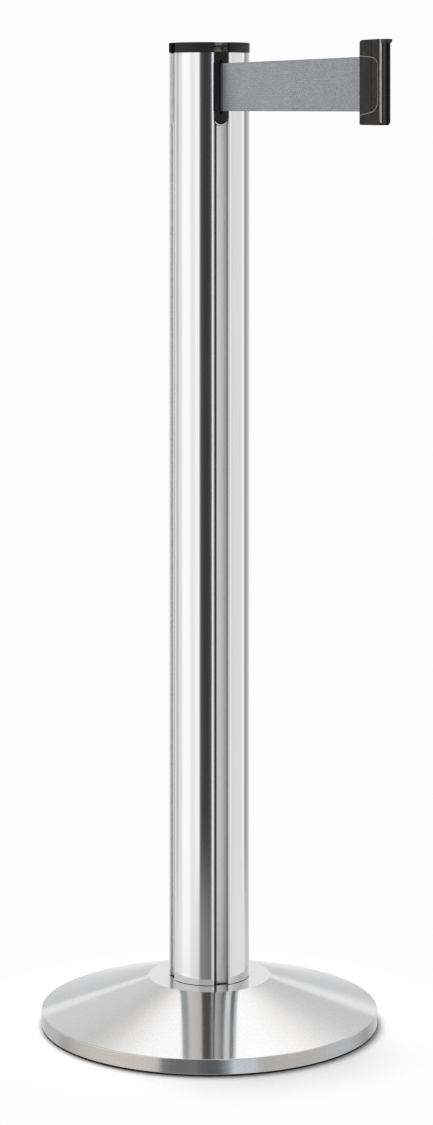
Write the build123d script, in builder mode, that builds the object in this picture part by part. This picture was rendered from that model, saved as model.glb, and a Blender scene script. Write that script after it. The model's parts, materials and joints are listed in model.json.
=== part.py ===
from build123d import *
import math
import os

# Retractable belt stanchion: a weighted round base, a slotted round post, and a head
# cassette that pays out a webbing belt ending in a T-tongue clip.
# Millimetres. The origin is the centre of the footprint on the floor, +Z is up, and the
# belt leaves the head along +X. Left is +Y, right is -Y.
# In names, _R is a radius or a distance from the axis, _Z a height, _T a thickness,
# _W a width and _PCR a pitch circle radius.

os.makedirs("parts", exist_ok=True)

# ---------------------------------------------------------------- shared dimensions
# base
BASE_R = 165.1
RIM_Z = 15.85            # height of the base's rim
HUB_R = 60.1             # flat land on top of the base
HUB_Z = 47.4
COVER_T = 1.8
COVER_FOOT = 1.9

# post
TOTAL_H = 965.2          # floor to top of head cap
CAP_H = 9.6
SEAT_T = 0.4             # gasket under the post
TUBE_Z0 = HUB_Z + SEAT_T
TUBE_Z1 = TOTAL_H - CAP_H
POST_R = 39.45
CAVITY_R = 37.05         # inside of the extrusion's wall
CHANNEL_W = 13.6         # accessory channel, four of them
WEB_W = 17.6             # outside of a channel's own wall
WEB_R = 31.2
BOSS_PCR = 34.0          # screw bosses between the channels
BOSS_HOLE_R = 2.1
BOSS_SCREW_R = 2.0
SOCKET_R = 1.4           # corner radius of the boss screws' hex sockets

# plastic inserts that fill the tops of the channels
INSERT_W = 13.4
INSERT_R_IN = 30.6
INSERT_ROUND_Z = 892.2   # centre of the insert's round foot

# belt
BELT_W = 46.5
BELT_T = 0.6
BELT_Z0 = 898.0
BELT_Z1 = BELT_Z0 + BELT_W
BELT_GAP = 0.05          # between the belt and what it runs on
ROLL_R = 20.8            # wound belt at rest
CORE_R = 10.0

# cassette
CASE_R = 29.3
CASE_Z0, CASE_Z1 = 891.0, 949.5
CASE_FLOOR_T = 2.8
CASE_FLOOR_Z = CASE_Z0 + CASE_FLOOR_T
TOP_PLATE_T = 3.0
TOP_PLATE_Z1 = CASE_Z1 + TOP_PLATE_T
EAR_HOLE_R = 2.2         # boss screw clearance in the top plate and the cap
TIE_PCR = 27.4           # three tie screws
TIE_HOLE_R = 1.25
ROLLER_R = 2.4
ROLLER_X = 27.2
ROLLER_Y = ROLLER_R + BELT_GAP + BELT_T / 2
ROLLER_SPOTS = ((ROLLER_X, ROLLER_Y), (ROLLER_X, -ROLLER_Y))
ROLLER_BORE_R = 1.0


# ---------------------------------------------------------------- helpers
def save(shape, name):
    """Labels a piece and writes its STEP file."""
    shape.label = name
    export_step(shape, f"parts/{name}.step")


def tube(name, z, height, outer, inner=0.0, at=(0, 0)):
    """Upright round bar or, with an inner radius, ring."""
    with BuildPart() as piece:
        with BuildSketch(Plane.XY.offset(z)):
            with Locations(at):
                Circle(outer)
                if inner:
                    Circle(inner, mode=Mode.SUBTRACT)
        extrude(amount=height)
    save(piece.part, name)


def stacked_discs(name, discs, bores):
    """Coaxial discs less coaxial bores, each given as (z, radius, height)."""
    with BuildPart() as piece:
        for mode, stages in ((Mode.ADD, discs), (Mode.SUBTRACT, bores)):
            for z, radius, height in stages:
                with BuildSketch(Plane.XY.offset(z)):
                    Circle(radius)
                extrude(amount=height, mode=mode)
    save(piece.part, name)


def at_bosses():
    """Places of the four screw bosses."""
    return PolarLocations(BOSS_PCR, 4, start_angle=45)


def at_tie_screws():
    """Places of the cassette's three tie screws."""
    return PolarLocations(TIE_PCR, 3, start_angle=60)


def draw_cavity(wall_gap=0.0, web_gap=0.0):
    """Draws the inside of the extrusion, clear of the four channel walls."""
    web_end = 40.0
    Circle(CAVITY_R - wall_gap)
    with PolarLocations((WEB_R + web_end) / 2, 4):
        Rectangle(web_end - WEB_R + web_gap, WEB_W + web_gap, mode=Mode.SUBTRACT)


def draw_ears():
    """Draws the four ears that reach out to the bosses."""
    with at_bosses():
        Circle(2.9)
    with PolarLocations(31.0, 4, start_angle=45):
        Rectangle(6.0, 5.8)


def draw_round_foot(width, top):
    """Draws an insert's or window's upright outline, with a half-round foot."""
    with Locations((0, (INSERT_ROUND_Z + top) / 2)):
        Rectangle(width, top - INSERT_ROUND_Z)
    with Locations((0, INSERT_ROUND_Z)):
        Circle(width / 2)


def ribbon(points, thickness):
    """Closed outline of a strip that follows points, for a Polyline."""
    left, right = [], []
    last = len(points) - 1
    for i, (x, y) in enumerate(points):
        x0, y0 = points[max(i - 1, 0)]
        x1, y1 = points[min(i + 1, last)]
        span = math.hypot(x1 - x0, y1 - y0)
        normal_x, normal_y = -(y1 - y0) / span, (x1 - x0) / span
        left.append((x + normal_x * thickness / 2, y + normal_y * thickness / 2))
        right.append((x - normal_x * thickness / 2, y - normal_y * thickness / 2))
    return left + right[::-1]


# ================================================================ BASE
RING_TOP_Z = 4.0         # floor ring's top, where the weight rests
RING_R = 164.7
RING_STEP_R = 162.8
RING_BORE_R = 146.0

# rubber floor ring: carries the weight and the cover's rim
with BuildPart() as floor_ring:
    with BuildSketch(Plane.XZ):
        with BuildLine():
            Polyline(
                (RING_BORE_R, 0.0), (RING_R - 0.4, 0.0), (RING_R, 0.4), (RING_R, COVER_FOOT),
                (RING_STEP_R, COVER_FOOT), (RING_STEP_R, RING_TOP_Z),
                (RING_BORE_R, RING_TOP_Z), close=True,
            )
        make_face()
    revolve(axis=Axis.Z)
save(floor_ring.part, "floor_ring")

# polished sheet-metal cover: flat land, shallow cone and a short upright rim
CONE_SLOPE = (HUB_Z - RIM_Z) / (BASE_R - HUB_R)
CONE_DROP = COVER_T / math.cos(math.atan(CONE_SLOPE))    # cone's thickness along Z
COVER_BORE_R = 9.0
COVER_IN_R = BASE_R - COVER_T
LAND_UNDER_Z = HUB_Z - COVER_T
with BuildPart() as base_cover:
    with BuildSketch(Plane.XZ) as cover_section:
        with BuildLine():
            Polyline(
                (COVER_BORE_R, HUB_Z), (HUB_R, HUB_Z), (BASE_R, RIM_Z), (BASE_R, COVER_FOOT),
                (COVER_IN_R, COVER_FOOT),
                (COVER_IN_R, HUB_Z - CONE_SLOPE * (COVER_IN_R - HUB_R) - CONE_DROP),
                (HUB_R - (CONE_DROP - COVER_T) / CONE_SLOPE, LAND_UNDER_Z),
                (COVER_BORE_R, LAND_UNDER_Z), close=True,
            )
        make_face()
        rim_corner = [
            corner for corner in cover_section.vertices()
            if abs(corner.X - BASE_R) < 0.01 and corner.Y > 10
        ]
        fillet(rim_corner, radius=0.9)
    revolve(axis=Axis.Z)
save(base_cover.part, "base_cover")

# cast-iron weight under the cover, hollowed from below; section as (radius, z)
CLAMP_SEAT_Z = 20.0      # underside of the weight round the tie bolt
WEIGHT_SECTION = [
    (7.0, LAND_UNDER_Z), (56.0, LAND_UNDER_Z), (162.9, 14.0), (162.9, RING_TOP_Z),
    (141.0, RING_TOP_Z), (137.0, 10.5), (72.0, 27.0), (37.0, 27.0), (34.0, RING_TOP_Z),
    (23.0, RING_TOP_Z), (23.0, CLAMP_SEAT_Z), (7.0, CLAMP_SEAT_Z),
]
RIB_W = 6.0
RIB_LAYERS = (           # z, middle radius, length, height
    (6.0, 88.0, 108.0, 4.4),
    (10.4, 74.0, 78.0, 14.0),
)
with BuildPart() as base_weight:
    with BuildSketch(Plane.XZ):
        with BuildLine():
            Polyline(*WEIGHT_SECTION, close=True)
        make_face()
    revolve(axis=Axis.Z)
    # casting ribs across the hollow
    for z, middle_r, length, height in RIB_LAYERS:
        with BuildSketch(Plane.XY.offset(z)):
            with PolarLocations(middle_r, 6):
                Rectangle(length, RIB_W)
        extrude(amount=height)
save(base_weight.part, "base_weight")

# fastening stack, from the weight's seat down to the bolt head
CLAMP_T = 4.0
LOCK_T = 2.6
BOLT_HEAD_H = 7.6
BOLT_HEAD_FLATS = 36.0 / 2           # hexagon's inscribed radius is half of this
CLAMP_Z = CLAMP_SEAT_Z - CLAMP_T
LOCK_Z = CLAMP_Z - LOCK_T

with BuildPart() as clamp_washer:
    with BuildSketch(Plane.XY.offset(CLAMP_Z)):
        Circle(20.0)
        Circle(6.5, mode=Mode.SUBTRACT)
    extrude(amount=CLAMP_T)
    lower_circles = clamp_washer.edges().filter_by(GeomType.CIRCLE).group_by(Axis.Z)[0]
    chamfer(lower_circles.sort_by(SortBy.RADIUS)[-1], length=0.8)
save(clamp_washer.part, "clamp_washer")

# split spring washer
with BuildPart() as lock_washer:
    with BuildSketch(Plane.XY.offset(LOCK_Z)):
        Circle(10.6)
        Circle(6.3, mode=Mode.SUBTRACT)
        with Locations((8.5, 0)):
            Rectangle(8.0, 0.9, rotation=18, mode=Mode.SUBTRACT)
    extrude(amount=LOCK_T)
save(lock_washer.part, "lock_washer")

# hex-head tie bolt from under the base into the post's foot plate
with BuildPart() as tie_bolt:
    with BuildSketch(Plane.XY.offset(LOCK_Z - BOLT_HEAD_H)):
        RegularPolygon(radius=BOLT_HEAD_FLATS / math.sqrt(3), side_count=6)
    extrude(amount=BOLT_HEAD_H)
    with BuildSketch(Plane.XY.offset(LOCK_Z)):
        Circle(5.95)
    extrude(amount=68.0)
    chamfer(tie_bolt.edges().filter_by(GeomType.CIRCLE).sort_by(Axis.Z)[-1], length=1.0)
save(tie_bolt.part, "tie_bolt")

# thin gasket that keeps the post off the polished land
tube("post_seat_gasket", z=HUB_Z, height=SEAT_T, outer=POST_R - 2.2, inner=18.0)

# ================================================================ POST
CHANNEL_FLOOR_R = 33.3
CHANNEL_CORNER = 3.0
CHANNEL_CUT = 20.0       # radial length of the cutting shape, past the post's surface
WEB_R_OUT = 37.6         # where a channel's wall merges into the round wall
LIP_R = 1.4              # rounded mouth of a channel
BOSS_R = 3.8
WINDOW_R = 28.0          # where the window cuts start
WINDOW_DEPTH = 14.0

# aluminium extrusion: round wall, four open channels at 0, 90, 180 and 270 degrees, and
# four screw bosses between them
with BuildPart() as post_tube:
    with BuildSketch(Plane.XY.offset(TUBE_Z0)):
        Circle(POST_R)
        Circle(CAVITY_R, mode=Mode.SUBTRACT)
        with PolarLocations((WEB_R + WEB_R_OUT) / 2, 4):
            Rectangle(WEB_R_OUT - WEB_R, WEB_W)
        with at_bosses():
            Circle(BOSS_R)
        with at_bosses():
            Circle(BOSS_HOLE_R, mode=Mode.SUBTRACT)
        with PolarLocations(CHANNEL_FLOOR_R + CHANNEL_CUT / 2, 4):
            RectangleRounded(CHANNEL_CUT, CHANNEL_W, CHANNEL_CORNER, mode=Mode.SUBTRACT)
    extrude(amount=TUBE_Z1 - TUBE_Z0)
    mouth = [
        edge for edge in post_tube.edges().filter_by(Axis.Z)
        if abs(math.hypot(edge.center().X, edge.center().Y) - POST_R) < 0.02
        and abs(min(abs(edge.center().X), abs(edge.center().Y)) - CHANNEL_W / 2) < 0.05
    ]
    fillet(mouth, radius=LIP_R)
    # round-footed windows milled through the channel floors at the top, for the inserts
    for side_plane in (Plane.YZ, Plane.XZ):
        for offset in (WINDOW_R, -WINDOW_R - WINDOW_DEPTH):
            with BuildSketch(side_plane.offset(offset)):
                draw_round_foot(CHANNEL_W, TUBE_Z1 + 5)
            extrude(amount=WINDOW_DEPTH, mode=Mode.SUBTRACT)
    # bosses cut back at the foot for the foot plate, and at the top for the cassette's ears
    for z, depth in ((TUBE_Z0, 8.0), (CASE_Z1, 10.0)):
        with BuildSketch(Plane.XY.offset(z)):
            draw_cavity()
        extrude(amount=depth, mode=Mode.SUBTRACT)

# the windows leave four wall segments standing above the full section: they are kept as
# solids of their own, each touching the full section below it
WALL_Z0 = INSERT_ROUND_Z - CHANNEL_W / 2 + 0.6
with BuildPart() as tube_full_section:
    add(post_tube.part)
    split(bisect_by=Plane.XY.offset(WALL_Z0), keep=Keep.BOTTOM)
with BuildPart() as tube_wall_segments:
    add(post_tube.part)
    split(bisect_by=Plane.XY.offset(WALL_Z0), keep=Keep.TOP)
save(Compound(tube_full_section.part.solids() + tube_wall_segments.part.solids()), "post_tube")

# foot plate: fills the extrusion's section, with a threaded hub for the tie bolt
FOOT_T = 7.9
FOOT_SEAT_H = 4.0        # counterbore depth for the foot screws
FOOT_HEAD_R = 2.9
with BuildPart() as post_foot_plate:
    with BuildSketch(Plane.XY.offset(TUBE_Z0)):
        draw_cavity(wall_gap=0.15, web_gap=0.4)
    extrude(amount=FOOT_T)
    with BuildSketch(Plane.XY.offset(TUBE_Z0 + FOOT_T)):
        Circle(15.0)
    extrude(amount=26.0)
    with BuildSketch(Plane.XY.offset(TUBE_Z0)):
        Circle(6.0)
    extrude(amount=40.0, mode=Mode.SUBTRACT)
    for radius, depth in ((FOOT_HEAD_R + 0.4, FOOT_SEAT_H), (BOSS_HOLE_R, 8.0)):
        with BuildSketch(Plane.XY.offset(TUBE_Z0)):
            with at_bosses():
                Circle(radius)
        extrude(amount=depth, mode=Mode.SUBTRACT)
save(post_foot_plate.part, "post_foot_plate")

# four screws up through the foot plate into the bosses
FOOT_HEAD_Z = TUBE_Z0 + 1.0
FOOT_SOCKET_H = 1.8
FOOT_HEAD_H = FOOT_SEAT_H - 1.0
with BuildPart() as foot_screws:
    with BuildSketch(Plane.XY.offset(FOOT_HEAD_Z)):
        with at_bosses():
            Circle(FOOT_HEAD_R)
            RegularPolygon(radius=SOCKET_R, side_count=6, mode=Mode.SUBTRACT)
    extrude(amount=FOOT_SOCKET_H)
    with BuildSketch(Plane.XY.offset(FOOT_HEAD_Z + FOOT_SOCKET_H)):
        with at_bosses():
            Circle(FOOT_HEAD_R)
    extrude(amount=FOOT_HEAD_H - FOOT_SOCKET_H)
    with BuildSketch(Plane.XY.offset(TUBE_Z0 + FOOT_SEAT_H)):
        with at_bosses():
            Circle(BOSS_SCREW_R)
    extrude(amount=18.0)
save(foot_screws.part, "foot_screws")

# ================================================================ HEAD
NOTCH_R = 29.8           # inner wall of the cap's notches
NOTCH_CUT = 20.0
RELIEF_Y = INSERT_W / 2 + 0.2
CAP_SCREW_SEAT_Z = 962.0
CAP_SCREW_END_Z = 938.0

# head cap with an open notch over each channel
with BuildPart() as head_cap:
    with BuildSketch(Plane.XY.offset(TUBE_Z1)):
        Circle(39.85)
        with PolarLocations(NOTCH_R + NOTCH_CUT / 2, 4):
            Rectangle(NOTCH_CUT, INSERT_W + 0.5, mode=Mode.SUBTRACT)
        # one side of each notch is cut away as a thumb relief
        for turn in range(4):
            with BuildLine():
                relief = Polyline(
                    (35.8, RELIEF_Y), (42.0, RELIEF_Y), (42.0, 14.36), close=True
                )
            make_face(relief.rotate(Axis.Z, 90 * turn).edges(), mode=Mode.SUBTRACT)
    extrude(amount=CAP_H)
    cap_top = head_cap.edges().filter_by(GeomType.CIRCLE).group_by(Axis.Z)[-1]
    fillet(cap_top, radius=1.0)
    # shallow dish on top
    with BuildSketch(Plane.XY.offset(TOTAL_H - 0.7)):
        Circle(27.0)
    extrude(amount=2.0, mode=Mode.SUBTRACT)
    # spigot and pads that press on the cassette's top plate and its ears
    with BuildSketch(Plane.XY.offset(TOP_PLATE_Z1)):
        Circle(29.2)
        Circle(12.0, mode=Mode.SUBTRACT)
        draw_ears()
    extrude(amount=TUBE_Z1 - TOP_PLATE_Z1)
    # screw holes and their counterbores
    for z, radius, depth in ((CASE_Z1, EAR_HOLE_R, 16.0), (CAP_SCREW_SEAT_Z, 3.9, 5.0)):
        with BuildSketch(Plane.XY.offset(z)):
            with at_bosses():
                Circle(radius)
        extrude(amount=depth, mode=Mode.SUBTRACT)
save(head_cap.part, "head_cap")

# four socket button screws into the bosses
with BuildPart() as cap_screws:
    with BuildSketch(Plane.XY.offset(CAP_SCREW_END_Z)):
        with at_bosses():
            Circle(BOSS_SCREW_R)
    extrude(amount=CAP_SCREW_SEAT_Z - CAP_SCREW_END_Z)
    with BuildSketch(Plane.XY.offset(CAP_SCREW_SEAT_Z)):
        with at_bosses():
            Circle(3.6)
    extrude(amount=2.4)
    fillet(cap_screws.edges().filter_by(GeomType.CIRCLE).group_by(Axis.Z)[-1], radius=0.9)
    with BuildSketch(Plane.XY.offset(CAP_SCREW_SEAT_Z + 1.0)):
        with at_bosses():
            RegularPolygon(radius=SOCKET_R, side_count=6)
    extrude(amount=3.0, mode=Mode.SUBTRACT)
save(cap_screws.part, "cap_screws")

INSERT_DEPTH = 12.0      # radial length of an insert before it is trimmed round
TRIM_Z, TRIM_H = 920.0, 120.0
GUIDE_R_OUT = 39.4
GUIDE_TOP = 964.4
SLIT_Z0, SLIT_Z1 = 894.8, 947.9
SLIT_WIDE, SLIT_NARROW = 1.75, 0.7   # slit's reach to -Y and to +Y of the belt

# exit guide: fills the +X channel and its cap notch, with the slit the belt comes out of
with BuildPart() as belt_exit_guide:
    with BuildSketch(Plane.YZ.offset(INSERT_R_IN)):
        draw_round_foot(INSERT_W, GUIDE_TOP)
    extrude(amount=INSERT_DEPTH)
    with Locations((0, 0, TRIM_Z)):
        Cylinder(radius=GUIDE_R_OUT, height=TRIM_H, mode=Mode.INTERSECT)
    # the part in the cap's notch is set back, with a shallow groove (z, radius, height)
    for z, radius, height in ((TUBE_Z1, 38.6, 12.0), (960.4, 37.4, 0.9)):
        with BuildSketch(Plane.XY.offset(z)):
            Circle(45.0)
            Circle(radius, mode=Mode.SUBTRACT)
        extrude(amount=height, mode=Mode.SUBTRACT)
    # sloping ledge above the slit, open to the -Y side
    with BuildSketch(Plane.XZ.offset(-2.4)):
        with BuildLine():
            Polyline((39.6, 955.0), (36.4, 959.8), (41.0, 959.8), (41.0, 955.0), close=True)
        make_face()
    extrude(amount=12.0, mode=Mode.SUBTRACT)
    # slit: the belt runs nearer its +Y side, and its inner mouth is flared
    with BuildSketch(Plane.XY.offset(SLIT_Z0)):
        with BuildLine():
            Polyline(
                (30.0, -2.4), (32.6, -SLIT_WIDE), (40.5, -SLIT_WIDE),
                (40.5, SLIT_NARROW), (32.6, SLIT_NARROW), (30.0, 2.2), close=True,
            )
        make_face()
    extrude(amount=SLIT_Z1 - SLIT_Z0, mode=Mode.SUBTRACT)
save(belt_exit_guide.part, "belt_exit_guide")

# receiver: a like insert with a T-slot open at the top, for another post's belt tongue
RECEIVER_TOP = 954.6
RECEIVER_R_OUT = 38.0    # the receivers stand back from the post's surface
SLOT_MOUTH = [           # x, y of the T-slot's flared mouth
    (-36.0, -1.15), (-37.4, -1.15), (-39.0, -2.2),
    (-39.0, 2.2), (-37.4, 1.15), (-36.0, 1.15),
]
with BuildPart() as receiver_rear:
    with BuildSketch(Plane.YZ.offset(-INSERT_R_IN)):
        draw_round_foot(INSERT_W, RECEIVER_TOP)
    extrude(amount=-INSERT_DEPTH)
    with Locations((0, 0, TRIM_Z)):
        Cylinder(radius=RECEIVER_R_OUT, height=TRIM_H, mode=Mode.INTERSECT)
    with BuildSketch(Plane.XY.offset(887.4)):
        with Locations((-34.3, 0)):
            Rectangle(4.6, 6.6)
        with BuildLine():
            Polyline(*SLOT_MOUTH, close=True)
        make_face()
    extrude(amount=80.0, mode=Mode.SUBTRACT)
save(receiver_rear.part, "receiver_rear")
save(receiver_rear.part.rotate(Axis.Z, -90), "receiver_left")
save(receiver_rear.part.rotate(Axis.Z, 90), "receiver_right")

# ================================================================ CASSETTE (fixed parts)
BUSH_R = 6.0             # seat of the upper and middle bushes
BUSH_FLANGE_R = 8.0
BUSH_BORE_R = 4.04
THROUGH = 80.0           # cut depth that clears the cassette

# open-topped cup with three screw posts and a solid block behind the rollers' pins
with BuildPart() as cassette_body:
    with BuildSketch(Plane.XY.offset(CASE_Z0)):
        Circle(CASE_R)
    extrude(amount=CASE_Z1 - CASE_Z0)
    with BuildSketch(Plane.XY.offset(CASE_FLOOR_Z)):
        Circle(CASE_R - 1.8)
        with at_tie_screws():
            Circle(2.3, mode=Mode.SUBTRACT)
    extrude(amount=THROUGH, mode=Mode.SUBTRACT)
    # opening in the +X wall for the rollers and the belt
    with BuildSketch(Plane.XY.offset(CASE_FLOOR_Z)):
        with Locations((28.0, 0)):
            Rectangle(8.0, 12.4)
    extrude(amount=THROUGH, mode=Mode.SUBTRACT)
    with BuildSketch(Plane.XY.offset(CASE_Z0 - 1)):
        Circle(BUSH_R)
        with at_tie_screws():
            Circle(TIE_HOLE_R)
        with Locations(*ROLLER_SPOTS):
            Circle(ROLLER_BORE_R)
    extrude(amount=THROUGH, mode=Mode.SUBTRACT)
save(cassette_body.part, "cassette_body")

# top plate, with four ears that sit on the extrusion's bosses under the cap
with BuildPart() as cassette_top_plate:
    with BuildSketch(Plane.XY.offset(CASE_Z1)):
        Circle(CASE_R)
        draw_ears()
        with at_bosses():
            Circle(EAR_HOLE_R, mode=Mode.SUBTRACT)
        Circle(BUSH_R, mode=Mode.SUBTRACT)
        with at_tie_screws():
            Circle(TIE_HOLE_R, mode=Mode.SUBTRACT)
        with Locations(*ROLLER_SPOTS):
            Circle(ROLLER_BORE_R, mode=Mode.SUBTRACT)
    extrude(amount=TOP_PLATE_T)
save(cassette_top_plate.part, "cassette_top_plate")

# spring case hung under the cassette floor
SPRING_CASE_Z0 = 868.8
SPRING_FLANGE_Z = 888.8
LOWER_FLOOR_T = 2.0      # floor of the spring case and of the brake case
LOWER_HOLE_R = 5.0       # hole in each of these floors
with BuildPart() as spring_case:
    with BuildSketch(Plane.XY.offset(SPRING_CASE_Z0)):
        Circle(25.6)
    extrude(amount=SPRING_FLANGE_Z - SPRING_CASE_Z0)
    with BuildSketch(Plane.XY.offset(SPRING_FLANGE_Z)):
        Circle(CASE_R)
    extrude(amount=CASE_Z0 - SPRING_FLANGE_Z)
    with BuildSketch(Plane.XY.offset(SPRING_CASE_Z0 + LOWER_FLOOR_T)):
        Circle(24.0)
    extrude(amount=30.0, mode=Mode.SUBTRACT)
    with BuildSketch(Plane.XY.offset(860.0)):
        Circle(LOWER_HOLE_R)
    extrude(amount=20.0, mode=Mode.SUBTRACT)
    with BuildSketch(Plane.XY.offset(888.0)):
        with at_tie_screws():
            Circle(TIE_HOLE_R)
    extrude(amount=10.0, mode=Mode.SUBTRACT)
save(spring_case.part, "spring_case")

# three long screws that tie spring case, cassette and top plate together
TIE_HEAD_H = 1.6
TIE_END_Z = 952.3
with BuildPart() as cassette_tie_screws:
    with BuildSketch(Plane.XY.offset(SPRING_FLANGE_Z - TIE_HEAD_H)):
        with at_tie_screws():
            Circle(1.75)
    extrude(amount=TIE_HEAD_H)
    with BuildSketch(Plane.XY.offset(SPRING_FLANGE_Z)):
        with at_tie_screws():
            Circle(1.2)
    extrude(amount=TIE_END_Z - SPRING_FLANGE_Z)
save(cassette_tie_screws.part, "cassette_tie_screws")

# centrifugal brake housing under the spring case, with its lining
BRAKE_Z0 = 852.8
BRAKE_FLOOR_Z = BRAKE_Z0 + LOWER_FLOOR_T
BRAKE_IN_R = 22.0
stacked_discs(
    "brake_case",
    discs=[(BRAKE_Z0, 24.0, SPRING_CASE_Z0 - BRAKE_Z0)],
    bores=[(BRAKE_FLOOR_Z, BRAKE_IN_R, 20.0), (850.0, LOWER_HOLE_R, 10.0)],
)
tube("brake_lining", z=856.4, height=10.4, outer=BRAKE_IN_R, inner=20.6)

# flanged bushes that carry the spindle
stacked_discs(
    "upper_bush",
    discs=[(CASE_Z1 - 1.1, BUSH_FLANGE_R, 1.1), (CASE_Z1, BUSH_R, TOP_PLATE_T)],
    bores=[(940.0, BUSH_BORE_R, 20.0)],
)
stacked_discs(
    "middle_bush",
    discs=[(CASE_Z0, BUSH_R, CASE_FLOOR_T), (CASE_FLOOR_Z, BUSH_FLANGE_R, 1.0)],
    bores=[(880.0, BUSH_BORE_R, 20.0)],
)
stacked_discs(
    "lower_bush",
    discs=[(BRAKE_Z0, LOWER_HOLE_R, LOWER_FLOOR_T), (BRAKE_FLOOR_Z, 7.0, 0.9)],
    bores=[(850.0, 3.04, 20.0)],
)

# two pins the guide rollers turn on
PIN_Z0, PIN_Z1 = CASE_Z0 + 0.4, 952.2
with BuildPart() as guide_pins:
    with BuildSketch(Plane.XY.offset(PIN_Z0)):
        with Locations(*ROLLER_SPOTS):
            Circle(0.95)
    extrude(amount=PIN_Z1 - PIN_Z0)
save(guide_pins.part, "guide_pins")

# spiral power spring: outer end close to the case wall, inner end in the spindle's slot
SPRING_T = 0.5
SPRING_TURNS = 8.0
SPRING_STEPS = 240
SPRING_R_IN, SPRING_R_OUT = 4.9, 23.4
SPRING_GROWTH = 0.92     # exponent of the radius: below 1, the coils close up outward
spring_path = [(0.6, 0.0), (4.6, 0.0)]
for i in range(1, SPRING_STEPS + 1):
    angle = SPRING_TURNS * 2 * math.pi * i / SPRING_STEPS
    radius = SPRING_R_IN + (SPRING_R_OUT - SPRING_R_IN) * (i / SPRING_STEPS) ** SPRING_GROWTH
    spring_path.append((radius * math.cos(angle), radius * math.sin(angle)))
with BuildPart() as power_spring:
    with BuildSketch(Plane.XY.offset(872.4)):
        with BuildLine():
            Polyline(*ribbon(spring_path, SPRING_T), close=True)
        make_face()
    extrude(amount=12.0)
save(power_spring.part, "power_spring")

# ================================================================ REEL (turns on the spindle)
SPINDLE_R, SPINDLE_TIP_R = 4.0, 3.0
SPINDLE_Z0, SPINDLE_Z1 = 853.2, 954.4
SPINDLE_STEP_Z = 861.0   # the spindle is thinner below this
DRIVE_PIN_Z = (BELT_Z0 + BELT_Z1) / 2
DRIVE_HOLE_R = 1.05
DRIVE_CUT_Y = 12.0       # half length of the cross hole's cut

with BuildPart() as spindle:
    with BuildSketch(Plane.XY.offset(SPINDLE_STEP_Z)):
        Circle(SPINDLE_R)
    extrude(amount=SPINDLE_Z1 - SPINDLE_STEP_Z)
    with BuildSketch(Plane.XY.offset(SPINDLE_Z0)):
        Circle(SPINDLE_TIP_R)
    extrude(amount=SPINDLE_STEP_Z - SPINDLE_Z0)
    # groove for the spindle clip
    with BuildSketch(Plane.XY.offset(952.7)):
        Circle(5.0)
        Circle(3.1, mode=Mode.SUBTRACT)
    extrude(amount=0.8, mode=Mode.SUBTRACT)
    # slot that holds the spring's inner end
    with BuildSketch(Plane.XY.offset(871.9)):
        with Locations((2.5, 0)):
            Rectangle(5.0, 0.9)
    extrude(amount=13.0, mode=Mode.SUBTRACT)
    # cross hole for the drive pin
    with BuildSketch(Plane.XZ.offset(-DRIVE_CUT_Y)):
        with Locations((0, DRIVE_PIN_Z)):
            Circle(DRIVE_HOLE_R)
    extrude(amount=2 * DRIVE_CUT_Y, mode=Mode.SUBTRACT)
    chamfer(spindle.edges().filter_by(GeomType.CIRCLE).sort_by(Axis.Z)[-1], length=0.5)
save(spindle.part, "spindle")

# retaining clip in the spindle's groove, open towards +Y
with BuildPart() as spindle_clip:
    with BuildSketch(Plane.XY.offset(952.75)):
        Circle(6.0)
        Circle(3.15, mode=Mode.SUBTRACT)
        with Locations((0, 5.0)):
            Rectangle(5.0, 6.0, mode=Mode.SUBTRACT)
    extrude(amount=0.65)
save(spindle_clip.part, "spindle_clip")

# cross pin between spindle and drum
DRIVE_PIN_L = 19.2
with BuildPart() as drive_pin:
    with BuildSketch(Plane.XZ.offset(-DRIVE_PIN_L / 2)):
        with Locations((0, DRIVE_PIN_Z)):
            Circle(1.0)
    extrude(amount=DRIVE_PIN_L)
save(drive_pin.part, "drive_pin")

# drum: bottom flange, core and a short spigot for the top flange
FLANGE_R = 24.3
FLANGE_T = 2.0
REEL_Z0 = 895.0
CORE_Z0 = REEL_Z0 + FLANGE_T
CORE_Z1 = 945.6
ANCHOR_X = 7.9           # rod that holds the belt's inner end in the core
with BuildPart() as reel_drum:
    with BuildSketch(Plane.XY.offset(REEL_Z0)):
        Circle(FLANGE_R)
    extrude(amount=FLANGE_T)
    with BuildSketch(Plane.XY.offset(CORE_Z0)):
        Circle(CORE_R)
    extrude(amount=CORE_Z1 - CORE_Z0)
    with BuildSketch(Plane.XY.offset(CORE_Z1)):
        Circle(7.0)
    extrude(amount=2.6)
    with BuildSketch(Plane.XY.offset(REEL_Z0 - 1)):
        Circle(SPINDLE_R + 0.03)
    extrude(amount=60.0, mode=Mode.SUBTRACT)
    # pocket for the anchor rod, open to the core's surface by a narrow slot
    with BuildSketch(Plane.XY.offset(897.6)):
        with Locations((ANCHOR_X, 0)):
            Circle(1.15)
        with Locations((9.4, 0)):
            Rectangle(2.4, 0.9)
    extrude(amount=47.4, mode=Mode.SUBTRACT)
    with BuildSketch(Plane.XZ.offset(-DRIVE_CUT_Y)):
        with Locations((0, DRIVE_PIN_Z)):
            Circle(DRIVE_HOLE_R)
    extrude(amount=2 * DRIVE_CUT_Y, mode=Mode.SUBTRACT)
    lower_circles = reel_drum.edges().filter_by(GeomType.CIRCLE).group_by(Axis.Z)[0]
    fillet(lower_circles.sort_by(SortBy.RADIUS)[-1], radius=0.5)
save(reel_drum.part, "reel_drum")

tube("reel_top_flange", z=CORE_Z1, height=FLANGE_T, outer=FLANGE_R, inner=7.03)
tube("belt_anchor_rod", z=BELT_Z0, height=BELT_W, outer=1.05, at=(ANCHOR_X, 0))
tube("belt_roll", z=BELT_Z0, height=BELT_W, outer=ROLL_R, inner=CORE_R + 0.02)

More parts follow.
